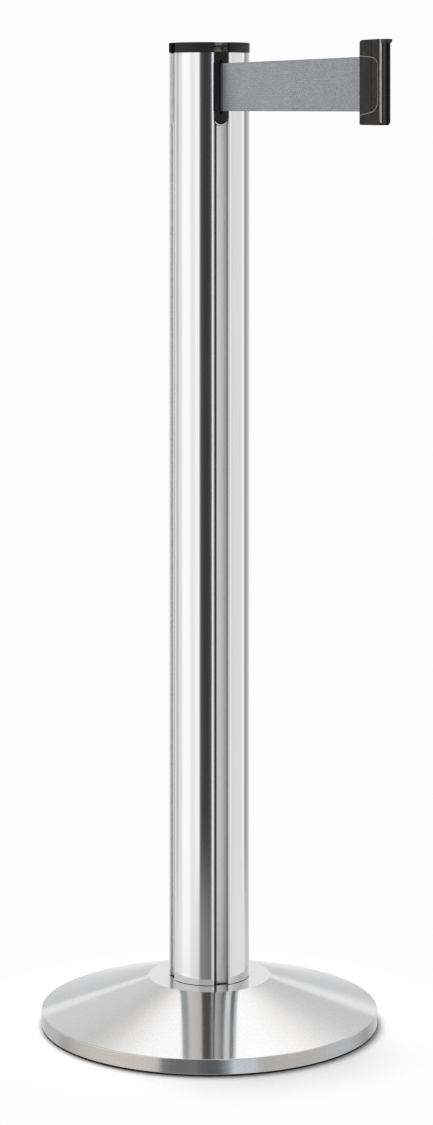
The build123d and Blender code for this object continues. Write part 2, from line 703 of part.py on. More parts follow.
# brake carrier and the two shoes that fly outward on their pins
SHOE_PCR = 16.4
SHOE_PIN_DEG = 40.0
SHOE_PIN_R = 1.2
SHOE_R_IN, SHOE_R_OUT = 12.6, 19.0
with BuildPart() as brake_carrier:
    with BuildSketch(Plane.XY.offset(856.8)):
        Circle(18.8)
    extrude(amount=1.6)
    with BuildSketch(Plane.XY.offset(858.4)):
        Circle(6.8)
    extrude(amount=5.4)
    # stepped bore to suit the spindle
    with BuildSketch(Plane.XY.offset(850.0)):
        Circle(SPINDLE_TIP_R + 0.03)
    extrude(amount=11.1, mode=Mode.SUBTRACT)
    with BuildSketch(Plane.XY.offset(SPINDLE_STEP_Z)):
        Circle(SPINDLE_R + 0.03)
    extrude(amount=10.0, mode=Mode.SUBTRACT)
    with BuildSketch(Plane.XY.offset(850.0)):
        with PolarLocations(SHOE_PCR, 2, start_angle=SHOE_PIN_DEG):
            Circle(SHOE_PIN_R)
    extrude(amount=20.0, mode=Mode.SUBTRACT)
save(brake_carrier.part, "brake_carrier")

with BuildPart() as brake_shoe_pins:
    with BuildSketch(Plane.XY.offset(856.9)):
        with PolarLocations(SHOE_PCR, 2, start_angle=SHOE_PIN_DEG):
            Circle(SHOE_PIN_R)
    extrude(amount=9.1)
save(brake_shoe_pins.part, "brake_shoe_pins")


def arc_points(radius, degrees):
    """Points on a circle round the axis at the given angles."""
    angles = [math.radians(degree) for degree in degrees]
    return [(radius * math.cos(angle), radius * math.sin(angle)) for angle in angles]


# each shoe is an arc from 30 to 150 degrees, the second turned half round
for name, turn in (("brake_shoe_a", 0), ("brake_shoe_b", 180)):
    outer_arc = arc_points(SHOE_R_OUT, range(30 + turn, 151 + turn, 4))
    inner_arc = arc_points(SHOE_R_IN, range(150 + turn, 29 + turn, -4))
    with BuildPart() as brake_shoe:
        with BuildSketch(Plane.XY.offset(858.6)):
            with BuildLine():
                Polyline(*outer_arc, *inner_arc, close=True)
            make_face()
            with PolarLocations(SHOE_PCR, 1, start_angle=SHOE_PIN_DEG + turn):
                Circle(SHOE_PIN_R + 0.06, mode=Mode.SUBTRACT)
        extrude(amount=6.6)
    save(brake_shoe.part, name)

# ================================================================ GUIDE ROLLERS
for name, spot in zip(("guide_roller_left", "guide_roller_right"), ROLLER_SPOTS):
    tube(name, z=895.6, height=52.0, outer=ROLLER_R, inner=ROLLER_BORE_R, at=spot)

# ================================================================ BELT
SWING_X = 39.5           # where the belt bends as it leaves the head
LEAD_X0, LEAD_X1 = SWING_X + 0.2, 44.0
STRIP_X0 = LEAD_X1 + 0.2
CLIP_BAR_X = 443.0       # bar in the clip that the belt's hem loops round
STRIP_X1 = CLIP_BAR_X - 1.6

# inner run: leaves the roll on a tangent, bends round the left roller, and goes straight
# out through the slit
BEND_STEPS = 8
run_roll_r = ROLL_R + BELT_GAP + BELT_T / 2
roller_distance = math.hypot(ROLLER_X, ROLLER_Y)
run_angle = math.atan2(ROLLER_Y, ROLLER_X) - math.asin(
    (run_roll_r + ROLLER_Y) / roller_distance
)
run_path = [(-math.sin(run_angle) * run_roll_r, math.cos(run_angle) * run_roll_r)]
for i in range(BEND_STEPS + 1):
    angle = run_angle * (1 - i / BEND_STEPS)
    run_path.append(
        (ROLLER_X + ROLLER_Y * math.sin(angle), ROLLER_Y - ROLLER_Y * math.cos(angle))
    )
run_path.append((39.2, 0.0))
with BuildPart() as belt_inner_run:
    with BuildSketch(Plane.XY.offset(BELT_Z0)):
        with BuildLine():
            Polyline(*ribbon(run_path, BELT_T), close=True)
        make_face()
    extrude(amount=BELT_W)
save(belt_inner_run.part, "belt_inner_run")

# first few millimetres outside the slit, which swing with the belt's direction
with BuildPart() as belt_lead:
    with BuildSketch(Plane.XY.offset(BELT_Z0)):
        with Locations(((LEAD_X0 + LEAD_X1) / 2, 0)):
            Rectangle(LEAD_X1 - LEAD_X0, BELT_T)
    extrude(amount=BELT_W)
save(belt_lead.part, "belt_lead")

# free belt, with the hem that loops round the clip's bar
with BuildPart() as belt_strip:
    with BuildSketch(Plane.XY.offset(BELT_Z0)):
        with Locations(((STRIP_X0 + STRIP_X1) / 2, 0)):
            Rectangle(STRIP_X1 - STRIP_X0, BELT_T)
        with Locations((CLIP_BAR_X, 0)):
            Circle(2.0)
        with Locations((CLIP_BAR_X, 0)):
            Circle(1.35, mode=Mode.SUBTRACT)
    extrude(amount=BELT_W)
save(belt_strip.part, "belt_strip")

# ================================================================ BELT CLIP
CLIP_X0, CLIP_X1 = 429.3, 479.1      # CLIP_X0 is the edge nearest the post, at rest
CLIP_Z0, CLIP_Z1 = 886.6, 958.6
CLIP_H = CLIP_Z1 - CLIP_Z0
CLIP_PLATE_T = 1.2
CREASE_X = 459.0
CREASE_W, CREASE_D = 1.0, 0.9
PARTING = 0.9            # the cover starts this far to -Y of the belt's plane
COVER_CUT = 6.0          # depth from there that clears the -Y face
POCKET_GAP = 1.4         # pocket's clearance beyond each edge of the belt
POCKET_Z0 = BELT_Z0 - POCKET_GAP
POCKET_H = BELT_W + 2 * POCKET_GAP
BAR_POCKET_R = 2.45
TONGUE_SLOT_W = 1.7
CLIP_SCREW_SPOTS = ((465.0, 903.5), (465.0, 938.2))      # x, z
CLIP_PLAN = [            # x, y of the shell seen from above
    (CLIP_X0, -2.9), (CLIP_X0 + 1.3, -3.85), (CREASE_X, -4.0), (CLIP_X1, -4.15),
    (CLIP_X1, 4.15), (CREASE_X, 4.0), (CLIP_X0 + 1.3, 3.85), (CLIP_X0, 2.9),
]


def cover_line(grow):
    """Draws the tapered D of the clip's cover in side view, grown by a clearance."""
    near, far = CLIP_X0 - 1.3, 474.4 + grow
    top = Line((near, 945.1 + grow), (456.0, 943.9 + grow))
    right_top = Spline(top @ 1, (far, 935.6), tangents=((1.0, -0.04), (0.0, -1.0)))
    right = Line(right_top @ 1, (far, 907.0))
    right_foot = Spline(
        right @ 1, (457.5, 897.3 - grow), tangents=((0.0, -1.0), (-1.0, -0.09))
    )
    foot = Line(right_foot @ 1, (near, 894.7 - grow))
    Line(foot @ 1, top @ 0)


# clip body: the shell, with the belt's pocket and the cover's opening in its -Y face
with BuildPart() as clip_body:
    with BuildSketch(Plane.XY.offset(CLIP_Z0)):
        with BuildLine():
            Polyline(*CLIP_PLAN, close=True)
        make_face()
    extrude(amount=CLIP_H)
    # side outline: the post end has a rounded top corner and a smaller bottom one
    with BuildSketch(Plane.XZ.offset(-8.0)):
        with BuildLine():
            Line((CLIP_X1, CLIP_Z1), (CLIP_X0 + 9.0, CLIP_Z1))
            Bezier(
                (CLIP_X0 + 9.0, CLIP_Z1), (CLIP_X0 + 3.8, CLIP_Z1),
                (CLIP_X0, CLIP_Z1 - 1.8), (CLIP_X0, CLIP_Z1 - 4.4),
            )
            Polyline(
                (CLIP_X0, CLIP_Z1 - 4.4), (CLIP_X0, CLIP_Z0 + 1.2),
                (CLIP_X0 + 1.4, CLIP_Z0 + 0.4), (CLIP_X0 + 4.6, CLIP_Z0),
                (CLIP_X1, CLIP_Z0), (CLIP_X1, CLIP_Z1),
            )
        make_face()
    extrude(amount=16.0, mode=Mode.INTERSECT)
    # opening for the cover
    with BuildSketch(Plane.XZ.offset(PARTING)):
        with BuildLine():
            cover_line(0.2)
        make_face()
    extrude(amount=COVER_CUT, mode=Mode.SUBTRACT)
    # pocket for the belt and its bar
    with BuildSketch(Plane.XY.offset(POCKET_Z0)):
        with Locations(((CLIP_X0 - 1 + CLIP_BAR_X) / 2, 0)):
            Rectangle(CLIP_BAR_X - CLIP_X0 + 1, 1.8)
        with Locations((CLIP_BAR_X, 0)):
            Circle(BAR_POCKET_R)
    extrude(amount=POCKET_H, mode=Mode.SUBTRACT)
    # crease down both faces
    with BuildSketch(Plane.XY.offset(CLIP_Z0 - 1)):
        with Locations((CREASE_X, -3.9), (CREASE_X, 3.9)):
            Rectangle(CREASE_W, CREASE_D)
    extrude(amount=90.0, mode=Mode.SUBTRACT)
    # slot for the tongue's root
    with BuildSketch(Plane.XY.offset(889.0)):
        with Locations((478.0, 0)):
            Rectangle(9.0, TONGUE_SLOT_W)
    extrude(amount=CLIP_Z1 - 889.0 + 1, mode=Mode.SUBTRACT)
    # screw holes and counterbores from the +Y face
    for radius, depth in ((1.5, 6.9), (2.7, 3.7)):
        with BuildSketch(Plane.XZ.offset(-6.0)):
            with Locations(*CLIP_SCREW_SPOTS):
                Circle(radius)
        extrude(amount=depth, mode=Mode.SUBTRACT)
save(clip_body.part, "clip_body")

# D-shaped cover that clamps the belt into the clip
with BuildPart() as clip_cover:
    with BuildSketch(Plane.XY.offset(CLIP_Z0)):
        with BuildLine():
            Polyline(*CLIP_PLAN, close=True)
        make_face()
    extrude(amount=CLIP_H)
    with BuildSketch(Plane.XZ.offset(PARTING)):
        with BuildLine():
            cover_line(0.0)
        make_face()
    extrude(amount=COVER_CUT, mode=Mode.INTERSECT)
    with BuildSketch(Plane.XY.offset(POCKET_Z0)):
        with Locations((CLIP_BAR_X, 0)):
            Circle(BAR_POCKET_R)
    extrude(amount=POCKET_H, mode=Mode.SUBTRACT)
    with BuildSketch(Plane.XY.offset(CLIP_Z0 - 1)):
        with Locations((CREASE_X, -3.9)):
            Rectangle(CREASE_W, CREASE_D)
    extrude(amount=90.0, mode=Mode.SUBTRACT)
    with BuildSketch(Plane.XZ):
        with Locations(*CLIP_SCREW_SPOTS):
            Circle(1.25)
    extrude(amount=3.2, mode=Mode.SUBTRACT)
save(clip_cover.part, "clip_cover")

# two cross-head screws, driven from the +Y face
CLIP_HEAD_Y = 3.6
CLIP_HEAD_H = 1.2
with BuildPart() as clip_screws:
    with BuildSketch(Plane.XZ.offset(-CLIP_HEAD_Y)):
        with Locations(*CLIP_SCREW_SPOTS):
            Circle(2.5)
    extrude(amount=CLIP_HEAD_H)
    with BuildSketch(Plane.XZ.offset(CLIP_HEAD_H - CLIP_HEAD_Y)):
        with Locations(*CLIP_SCREW_SPOTS):
            Circle(1.2)
    extrude(amount=5.4)
    with BuildSketch(Plane.XZ.offset(-CLIP_HEAD_Y)):
        with Locations(*CLIP_SCREW_SPOTS):
            Rectangle(3.2, 0.7)
            Rectangle(0.7, 3.2)
    extrude(amount=0.7, mode=Mode.SUBTRACT)
save(clip_screws.part, "clip_screws")

tube("clip_anchor_bar", z=BELT_Z0 - 1.2, height=BELT_W + 2.4, outer=1.25, at=(CLIP_BAR_X, 0))

# sheet-metal face plate that backs the tongue
PLATE_X = CLIP_X1 + CLIP_PLATE_T
PLATE_SLOT_Z = 889.5
with BuildPart() as clip_face_plate:
    with BuildSketch(Plane.YZ.offset(CLIP_X1)) as plate_face:
        with Locations((0, (CLIP_Z0 + CLIP_Z1) / 2)):
            Rectangle(8.3, CLIP_H - 0.4)
        chamfer(plate_face.vertices().group_by(Axis.Y)[0], length=2.6)
        with Locations((0, (PLATE_SLOT_Z + CLIP_Z1) / 2 + 1)):
            Rectangle(TONGUE_SLOT_W, CLIP_Z1 - PLATE_SLOT_Z + 2, mode=Mode.SUBTRACT)
    extrude(amount=CLIP_PLATE_T)
    # long edges bevelled towards the tongue
    with BuildSketch(Plane.XY.offset(CLIP_Z0 - 1)):
        with BuildLine():
            Polyline(
                (CLIP_X1 - 0.1, -5.0), (CLIP_X1 + 0.3, -4.15), (PLATE_X, -2.75),
                (PLATE_X, 2.75), (CLIP_X1 + 0.3, 4.15), (CLIP_X1 - 0.1, 5.0), close=True,
            )
        make_face()
    extrude(amount=CLIP_H + 2, mode=Mode.INTERSECT)
save(clip_face_plate.part, "clip_face_plate")

# tongue: neck, grooved T-head and a beak at the top that hooks over a receiver
TONGUE_X0 = PLATE_X + 0.1
TONGUE_Z0 = 887.8
TONGUE_Z1 = 958.4
ROOT_X, ROOT_Z = 473.8, 890.0        # the root's inner edge and foot, inside the clip
NECK_X = 484.2
NECK_T = 1.6
BEAK_Z = 955.0           # underside of the beak, top of the T-head
BEAK_W = 6.8
with BuildPart() as clip_tongue:
    with BuildSketch(Plane.XZ.offset(-NECK_T / 2)):
        with BuildLine():
            Polyline(
                (ROOT_X, ROOT_Z), (TONGUE_X0, ROOT_Z), (TONGUE_X0, TONGUE_Z0),
                (NECK_X, TONGUE_Z0), (NECK_X, TONGUE_Z1), (ROOT_X, TONGUE_Z1), close=True,
            )
        make_face()
    extrude(amount=NECK_T)
    with BuildSketch(Plane.XY.offset(TONGUE_Z0)):
        with Locations((485.0, 0)):
            Rectangle(3.2, 5.2)
        with Locations((486.4, 0)):
            Rectangle(2.4, 1.3, mode=Mode.SUBTRACT)
    extrude(amount=BEAK_Z - TONGUE_Z0)
    # lead-in bevel under the head
    with BuildSketch(Plane.XZ.offset(-4.0)):
        with BuildLine():
            Polyline(
                (485.3, TONGUE_Z0 - 0.1), (487.0, TONGUE_Z0 - 0.1), (487.0, TONGUE_Z0 + 2.4),
                close=True,
            )
        make_face()
    extrude(amount=8.0, mode=Mode.SUBTRACT)
    # beak
    with BuildSketch(Plane.XZ.offset(-BEAK_W / 2)):
        with BuildLine():
            Polyline(
                (TONGUE_X0, BEAK_Z), (486.8, BEAK_Z), (489.2, 956.9), (489.2, 957.8),
                (488.4, TONGUE_Z1), (TONGUE_X0, TONGUE_Z1), close=True,
            )
        make_face()
    extrude(amount=BEAK_W)
save(clip_tongue.part, "clip_tongue")
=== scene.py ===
import json
import math
import random

import bpy
from mathutils import Matrix, Vector
from mathutils.geometry import tessellate_polygon


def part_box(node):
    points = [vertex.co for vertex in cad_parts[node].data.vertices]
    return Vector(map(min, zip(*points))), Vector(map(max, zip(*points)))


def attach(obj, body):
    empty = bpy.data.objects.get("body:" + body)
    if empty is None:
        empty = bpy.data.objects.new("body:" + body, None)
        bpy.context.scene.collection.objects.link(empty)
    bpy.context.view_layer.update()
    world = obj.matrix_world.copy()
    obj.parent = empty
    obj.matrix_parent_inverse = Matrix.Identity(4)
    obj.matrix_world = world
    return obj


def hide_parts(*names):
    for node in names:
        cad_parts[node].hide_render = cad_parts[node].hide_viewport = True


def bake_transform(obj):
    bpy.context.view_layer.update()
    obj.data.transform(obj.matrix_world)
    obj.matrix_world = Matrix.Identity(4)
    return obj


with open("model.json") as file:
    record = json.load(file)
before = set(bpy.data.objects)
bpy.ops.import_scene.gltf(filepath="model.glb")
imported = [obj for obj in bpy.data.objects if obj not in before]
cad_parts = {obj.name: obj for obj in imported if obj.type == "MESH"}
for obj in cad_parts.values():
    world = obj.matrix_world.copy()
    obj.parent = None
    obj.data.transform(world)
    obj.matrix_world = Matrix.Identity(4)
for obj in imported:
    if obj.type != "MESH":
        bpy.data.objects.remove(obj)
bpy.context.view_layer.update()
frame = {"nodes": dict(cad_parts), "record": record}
NODES = frame["nodes"]
random.seed(7)

MM = 0.001

# ------------------------------------------------------------------ sizes shared with the CAD (mm)
BASE_R, RIM_Z, HUB_R, HUB_Z, COVER_T, COVER_FOOT = 165.1, 15.85, 60.1, 47.4, 1.8, 1.9
POST_R, CAV_R = 39.45, 37.05
HALF_W, FLOOR_R, U_R, U_DEPTH = 6.8, 33.3, 36.6, 3.3
WEB_R, WEB_HW, LIP = 31.2, 8.8, 1.4
LEG_ROUND_Z = 892.2
TOTAL_H, CAP_H = 965.2, 9.6
TUBE_Z1 = TOTAL_H - CAP_H
BELT_Z0, BELT_W, BELT_T = 898.0, 46.5, 0.6
SWING_X = 39.5


def cad_mm(node):
    lo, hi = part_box(node)
    return lo * 1000.0, hi * 1000.0


TUBE_Z0 = cad_mm("post_tube")[0].z
CLIP_X0 = cad_mm("clip_body")[0].x


# ------------------------------------------------------------------ node helpers
def new_material(name):
    m = bpy.data.materials.new(name)
    m.use_nodes = True
    nt = m.node_tree
    nt.nodes.clear()
    out = nt.nodes.new("ShaderNodeOutputMaterial")
    bsdf = nt.nodes.new("ShaderNodeBsdfPrincipled")
    nt.links.new(bsdf.outputs["BSDF"], out.inputs["Surface"])
    return m, nt, bsdf


def math_node(nt, op, a, b=None, c=None, clamp=False):
    n = nt.nodes.new("ShaderNodeMath")
    n.operation = op
    n.use_clamp = clamp
    for i, v in enumerate((a, b, c)):
        if v is None:
            continue
        if isinstance(v, (int, float)):
            n.inputs[i].default_value = v
        else:
            nt.links.new(v, n.inputs[i])
    return n.outputs[0]


def object_coords(nt, scale=(1, 1, 1)):
    tc = nt.nodes.new("ShaderNodeTexCoord")
    mp = nt.nodes.new("ShaderNodeMapping")
    mp.inputs["Scale"].default_value = scale
    nt.links.new(tc.outputs["Object"], mp.inputs["Vector"])
    return mp.outputs["Vector"]


def noise(nt, vector, scale, detail=3.0, rough=0.55):
    n = nt.nodes.new("ShaderNodeTexNoise")
    n.inputs["Scale"].default_value = scale
    n.inputs["Detail"].default_value = detail
    n.inputs["Roughness"].default_value = rough
    if vector is not None:
        nt.links.new(vector, n.inputs["Vector"])
    return n.outputs["Fac"]


def ramp(nt, fac, stops, interpolation="LINEAR"):
    r = nt.nodes.new("ShaderNodeValToRGB")
    r.color_ramp.interpolation = interpolation
    els = r.color_ramp.elements
    while len(els) > 1:
        els.remove(els[-1])
    els[0].position = stops[0][0]
    els[0].color = (*stops[0][1], 1.0)
    for pos, col in stops[1:]:
        e = els.new(pos)
        e.color = (*col, 1.0)
    nt.links.new(fac, r.inputs["Fac"])
    return r.outputs["Color"]


def map_range(nt, value, a0, a1, b0, b1, smooth=False):
    m = nt.nodes.new("ShaderNodeMapRange")
    m.interpolation_type = "SMOOTHSTEP" if smooth else "LINEAR"
    m.inputs["From Min"].default_value = a0
    m.inputs["From Max"].default_value = a1
    m.inputs["To Min"].default_value = b0
    m.inputs["To Max"].default_value = b1
    nt.links.new(value, m.inputs["Value"])
    return m.outputs["Result"]


def bump(nt, bsdf, height, strength, distance, normal=None):
    b = nt.nodes.new("ShaderNodeBump")
    b.inputs["Strength"].default_value = strength
    b.inputs["Distance"].default_value = distance
    nt.links.new(height, b.inputs["Height"])
    if normal is not None:
        nt.links.new(normal, b.inputs["Normal"])
    nt.links.new(b.outputs["Normal"], bsdf.inputs["Normal"])
    return b.outputs["Normal"]


def mix_rgb(nt, fac, a, b, mode="MIX"):
    m = nt.nodes.new("ShaderNodeMix")
    m.data_type = "RGBA"
    m.blend_type = mode
    for sock, v in ((m.inputs[0], fac), (m.inputs[6], a), (m.inputs[7], b)):
        if isinstance(v, (int, float)):
            sock.default_value = v
        elif isinstance(v, (tuple, list)):
            sock.default_value = (*v, 1.0) if len(v) == 3 else v
        else:
            nt.links.new(v, sock)
    return m.outputs[2]


# ------------------------------------------------------------------ materials
def metal_polished_extrusion():
    m, nt, b = new_material("polished_extrusion")
    b.inputs["Metallic"].default_value = 1.0
    v = object_coords(nt, (1.0, 1.0, 0.012))
    streak = noise(nt, v, 900.0, 4.0, 0.6)
    broad = noise(nt, v, 160.0, 2.0, 0.5)
    smudge = noise(nt, object_coords(nt, (1, 1, 0.4)), 22.0, 3.0, 0.5)
    col = ramp(nt, streak, [(0.25, (0.895, 0.9, 0.905)), (0.75, (0.965, 0.965, 0.96))])
    # the channels keep their mill finish, duller; painted shade colours their flanks near-black
    tc = nt.nodes.new("ShaderNodeTexCoord")
    sep = nt.nodes.new("ShaderNodeSeparateXYZ")
    nt.links.new(tc.outputs["Object"], sep.inputs[0])
    ax, ay = math_node(nt, "ABSOLUTE", sep.outputs[0]), math_node(nt, "ABSOLUTE", sep.outputs[1])
    side, depth = math_node(nt, "MINIMUM", ax, ay), math_node(nt, "MAXIMUM", ax, ay)
    inside = map_range(nt, depth, 38.2 * MM, 37.6 * MM, 0.0, 1.0, True)
    inside = math_node(nt, "MULTIPLY", inside, math_node(nt, "LESS_THAN", side, 7.0 * MM))
    wide = math_node(nt, "GREATER_THAN", ax, ay)
    lat_x = math_node(nt, "MULTIPLY", sep.outputs[1], math_node(nt, "SIGN", sep.outputs[0]))
    lat_y = math_node(nt, "MULTIPLY", math_node(nt, "MULTIPLY", sep.outputs[0], math_node(nt, "SIGN", sep.outputs[1])), -1.0)
    lateral = math_node(nt, "ADD", math_node(nt, "MULTIPLY", lat_x, wide), math_node(nt, "MULTIPLY", lat_y, math_node(nt, "SUBTRACT", 1.0, wide)))
    flank = math_node(nt, "MULTIPLY", map_range(nt, lateral, -2.3 * MM, -4.1 * MM, 0.0, 0.97, True), math_node(nt, "LESS_THAN", depth, 36.68 * MM))
    flank = math_node(nt, "MULTIPLY", flank, map_range(nt, wide, 0.0, 1.0, 0.15, 1.0))
    far = map_range(nt, lateral, 4.4 * MM, 6.0 * MM, 0.0, 0.5, True)
    painted_channel_shade = math_node(nt, "MULTIPLY", inside, math_node(nt, "MAXIMUM", flank, far))
    nt.links.new(math_node(nt, "SUBTRACT", 1.0, math_node(nt, "MULTIPLY", inside, 0.35)), b.inputs["Metallic"])
    # painted shade: the channel flanks are mixed towards near-black
    col = mix_rgb(nt, painted_channel_shade, col, (0.02, 0.02, 0.021))
    # painted shadow: a dark band on the post just under the cap's lower edge
    shade = map_range(nt, sep.outputs[2], (TUBE_Z1 - 0.75) * MM, (TUBE_Z1 - 0.35) * MM, 0.0, 0.95)
    col = mix_rgb(nt, shade, col, (0.02, 0.02, 0.02))
    nt.links.new(col, b.inputs["Base Color"])
    r1 = map_range(nt, streak, 0.3, 0.7, 0.045, 0.085)
    r2 = map_range(nt, smudge, 0.4, 0.75, 0.0, 0.03)
    r3 = math_node(nt, "MULTIPLY", inside, 0.27)
    nt.links.new(math_node(nt, "ADD", math_node(nt, "ADD", r1, r2), r3), b.inputs["Roughness"])
    h = math_node(nt, "ADD", math_node(nt, "MULTIPLY", streak, 0.4), broad)
    bump(nt, b, h, 0.10, 0.00012)
    return m


def metal_polished_cover():
    m, nt, b = new_material("polished_cover_metal")
    b.inputs["Metallic"].default_value = 1.0
    tc = nt.nodes.new("ShaderNodeTexCoord")
    sep = nt.nodes.new("ShaderNodeSeparateXYZ")
    nt.links.new(tc.outputs["Object"], sep.inputs[0])
    x, y, z = sep.outputs
    rad = math_node(nt, "SQRT", math_node(nt, "ADD", math_node(nt, "MULTIPLY", x, x), math_node(nt, "MULTIPLY", y, y)))
    ang = math_node(nt, "ARCTAN2", y, x)
    comb = nt.nodes.new("ShaderNodeCombineXYZ")
    nt.links.new(math_node(nt, "MULTIPLY", rad, 1000.0), comb.inputs[0])
    nt.links.new(math_node(nt, "MULTIPLY", ang, 1.3), comb.inputs[1])
    nt.links.new(math_node(nt, "MULTIPLY", z, 400.0), comb.inputs[2])
    rings = noise(nt, comb.outputs[0], 1.6, 3.0, 0.6)
    grain = noise(nt, tc.outputs["Object"], 620.0, 2.0, 0.7)
    haze = noise(nt, tc.outputs["Object"], 14.0, 3.0, 0.5)
    col = ramp(nt, grain, [(0.3, (0.89, 0.892, 0.895)), (0.7, (1.0, 1.0, 1.0))])
    nt.links.new(col, b.inputs["Base Color"])
    r = math_node(nt, "ADD", map_range(nt, rings, 0.3, 0.7, 0.05, 0.085), map_range(nt, haze, 0.4, 0.8, 0.0, 0.035))
    nt.links.new(r, b.inputs["Roughness"])
    h = math_node(nt, "ADD", math_node(nt, "MULTIPLY", rings, 1.0), math_node(nt, "MULTIPLY", grain, 0.25))
    bump(nt, b, h, 0.06, 0.00012)
    return m


def metal(name, col, rough, scale=300.0, metallic=1.0, stretch=(1, 1, 1), strength=0.15, distance=0.0002, vary=0.12):
    m, nt, b = new_material(name)
    b.inputs["Metallic"].default_value = metallic
    v = object_coords(nt, stretch)
    n1 = noise(nt, v, scale, 4.0, 0.6)
    n2 = noise(nt, object_coords(nt), 35.0, 3.0, 0.5)
    lo = tuple(max(0.0, c * (1 - vary)) for c in col)
    hi = tuple(min(1.0, c * (1 + vary)) for c in col)
    nt.links.new(ramp(nt, n2, [(0.3, lo), (0.7, hi)]), b.inputs["Base Color"])
    nt.links.new(map_range(nt, n1, 0.3, 0.7, rough * 0.75, min(1.0, rough * 1.3)), b.inputs["Roughness"])
    bump(nt, b, n1, strength, distance)
    return m


def plastic(name, col, rough, scale=1400.0, strength=0.25, distance=0.00008, vary=0.25, spec=0.5):
    m, nt, b = new_material(name)
    v = object_coords(nt)
    n1 = noise(nt, v, scale, 2.0, 0.5)
    n2 = noise(nt, v, 60.0, 3.0, 0.5)
    lo = tuple(max(0.0, c * (1 - vary)) for c in col)
    hi = tuple(min(1.0, c * (1 + vary)) for c in col)
    nt.links.new(ramp(nt, n2, [(0.3, lo), (0.7, hi)]), b.inputs["Base Color"])
    nt.links.new(map_range(nt, n1, 0.3, 0.7, rough * 0.8, min(1.0, rough * 1.25)), b.inputs["Roughness"])
    b.inputs["Specular IOR Level"].default_value = spec
    bump(nt, b, n1, strength, distance)
    return m


def textured_coating(name, col, rough):
    """Fine leather-grain coating on the belt clip."""
    m, nt, b = new_material(name)
    v = object_coords(nt)
    vor = nt.nodes.new("ShaderNodeTexVoronoi")
    vor.inputs["Scale"].default_value = 950.0
    nt.links.new(v, vor.inputs["Vector"])
    n1 = noise(nt, v, 700.0, 3.0, 0.6)
    n2 = noise(nt, v, 90.0, 3.0, 0.5)
    n3 = noise(nt, v, 1100.0, 1.0, 0.5)
    speck = math_node(nt, "ADD", math_node(nt, "MULTIPLY", n1, 0.5), math_node(nt, "ADD", math_node(nt, "MULTIPLY", n3, 0.35), math_node(nt, "MULTIPLY", n2, 0.15)))
    lo = tuple(c * 0.25 for c in col)
    hi = tuple(c * 2.9 for c in col)
    nt.links.new(ramp(nt, speck, [(0.4, lo), (0.6, hi)]), b.inputs["Base Color"])
    nt.links.new(map_range(nt, n1, 0.3, 0.7, rough * 0.85, rough * 1.2), b.inputs["Roughness"])
    b.inputs["Specular IOR Level"].default_value = 0.12
    h = math_node(nt, "ADD", vor.outputs["Distance"], n1)
    bump(nt, b, h, 0.5, 0.0002)
    return m


def face_plate():
    """Bare bevelled steel edges; the face between them and below 889 mm is coloured near-black as painted shade from
    the tongue.
    """
    m, nt, b = new_material("face_plate_steel")
    tc = nt.nodes.new("ShaderNodeTexCoord")
    sep = nt.nodes.new("ShaderNodeSeparateXYZ")
    nt.links.new(tc.outputs["Object"], sep.inputs[0])
    side = math_node(nt, "ABSOLUTE", sep.outputs[1])
    bare = math_node(nt, "MULTIPLY", map_range(nt, side, 2.45 * MM, 2.6 * MM, 0.0, 1.0), map_range(nt, sep.outputs[2], 888.0 * MM, 889.2 * MM, 0.0, 1.0))
    n1 = noise(nt, object_coords(nt, (1, 1, 0.25)), 520.0, 4.0, 0.6)
    steel = ramp(nt, n1, [(0.32, (0.52, 0.485, 0.465)), (0.68, (0.80, 0.75, 0.725))])
    # painted shade: near-black everywhere but the side edges above 889 mm
    nt.links.new(mix_rgb(nt, bare, (0.014, 0.013, 0.0125), steel), b.inputs["Base Color"])
    nt.links.new(math_node(nt, "MULTIPLY", bare, 0.75), b.inputs["Metallic"])
    nt.links.new(map_range(nt, n1, 0.3, 0.7, 0.3, 0.42), b.inputs["Roughness"])
    b.inputs["Specular IOR Level"].default_value = 0.25
    bump(nt, b, n1, 0.2, 0.0002)
    return m


def tongue_plastic():
    """Satin black, with painted shade: the groove down the T-head is coloured near-black with no specular."""
    m = plastic("tongue_satin_plastic", (0.028, 0.027, 0.0265), 0.34, 1200.0, 0.2, 0.00006, 0.25, 0.2)
    nt = m.node_tree
    b = next(n for n in nt.nodes if n.type == "BSDF_PRINCIPLED")
    tc = nt.nodes.new("ShaderNodeTexCoord")
    sep = nt.nodes.new("ShaderNodeSeparateXYZ")
    nt.links.new(tc.outputs["Object"], sep.inputs[0])
    painted_groove_shade = math_node(nt, "LESS_THAN", math_node(nt, "ABSOLUTE", sep.outputs[1]), 0.67 * MM)
    painted_groove_shade = math_node(nt, "MULTIPLY", painted_groove_shade, math_node(nt, "GREATER_THAN", sep.outputs[0], 484.9 * MM))
    painted_groove_shade = math_node(nt, "MULTIPLY", painted_groove_shade, math_node(nt, "LESS_THAN", sep.outputs[2], 954.9 * MM))
    old = b.inputs["Base Color"].links[0].from_socket
    nt.links.new(mix_rgb(nt, painted_groove_shade, old, (0.001, 0.001, 0.001)), b.inputs["Base Color"])
    nt.links.new(map_range(nt, painted_groove_shade, 0.0, 1.0, 0.2, 0.0), b.inputs["Specular IOR Level"])
    return m


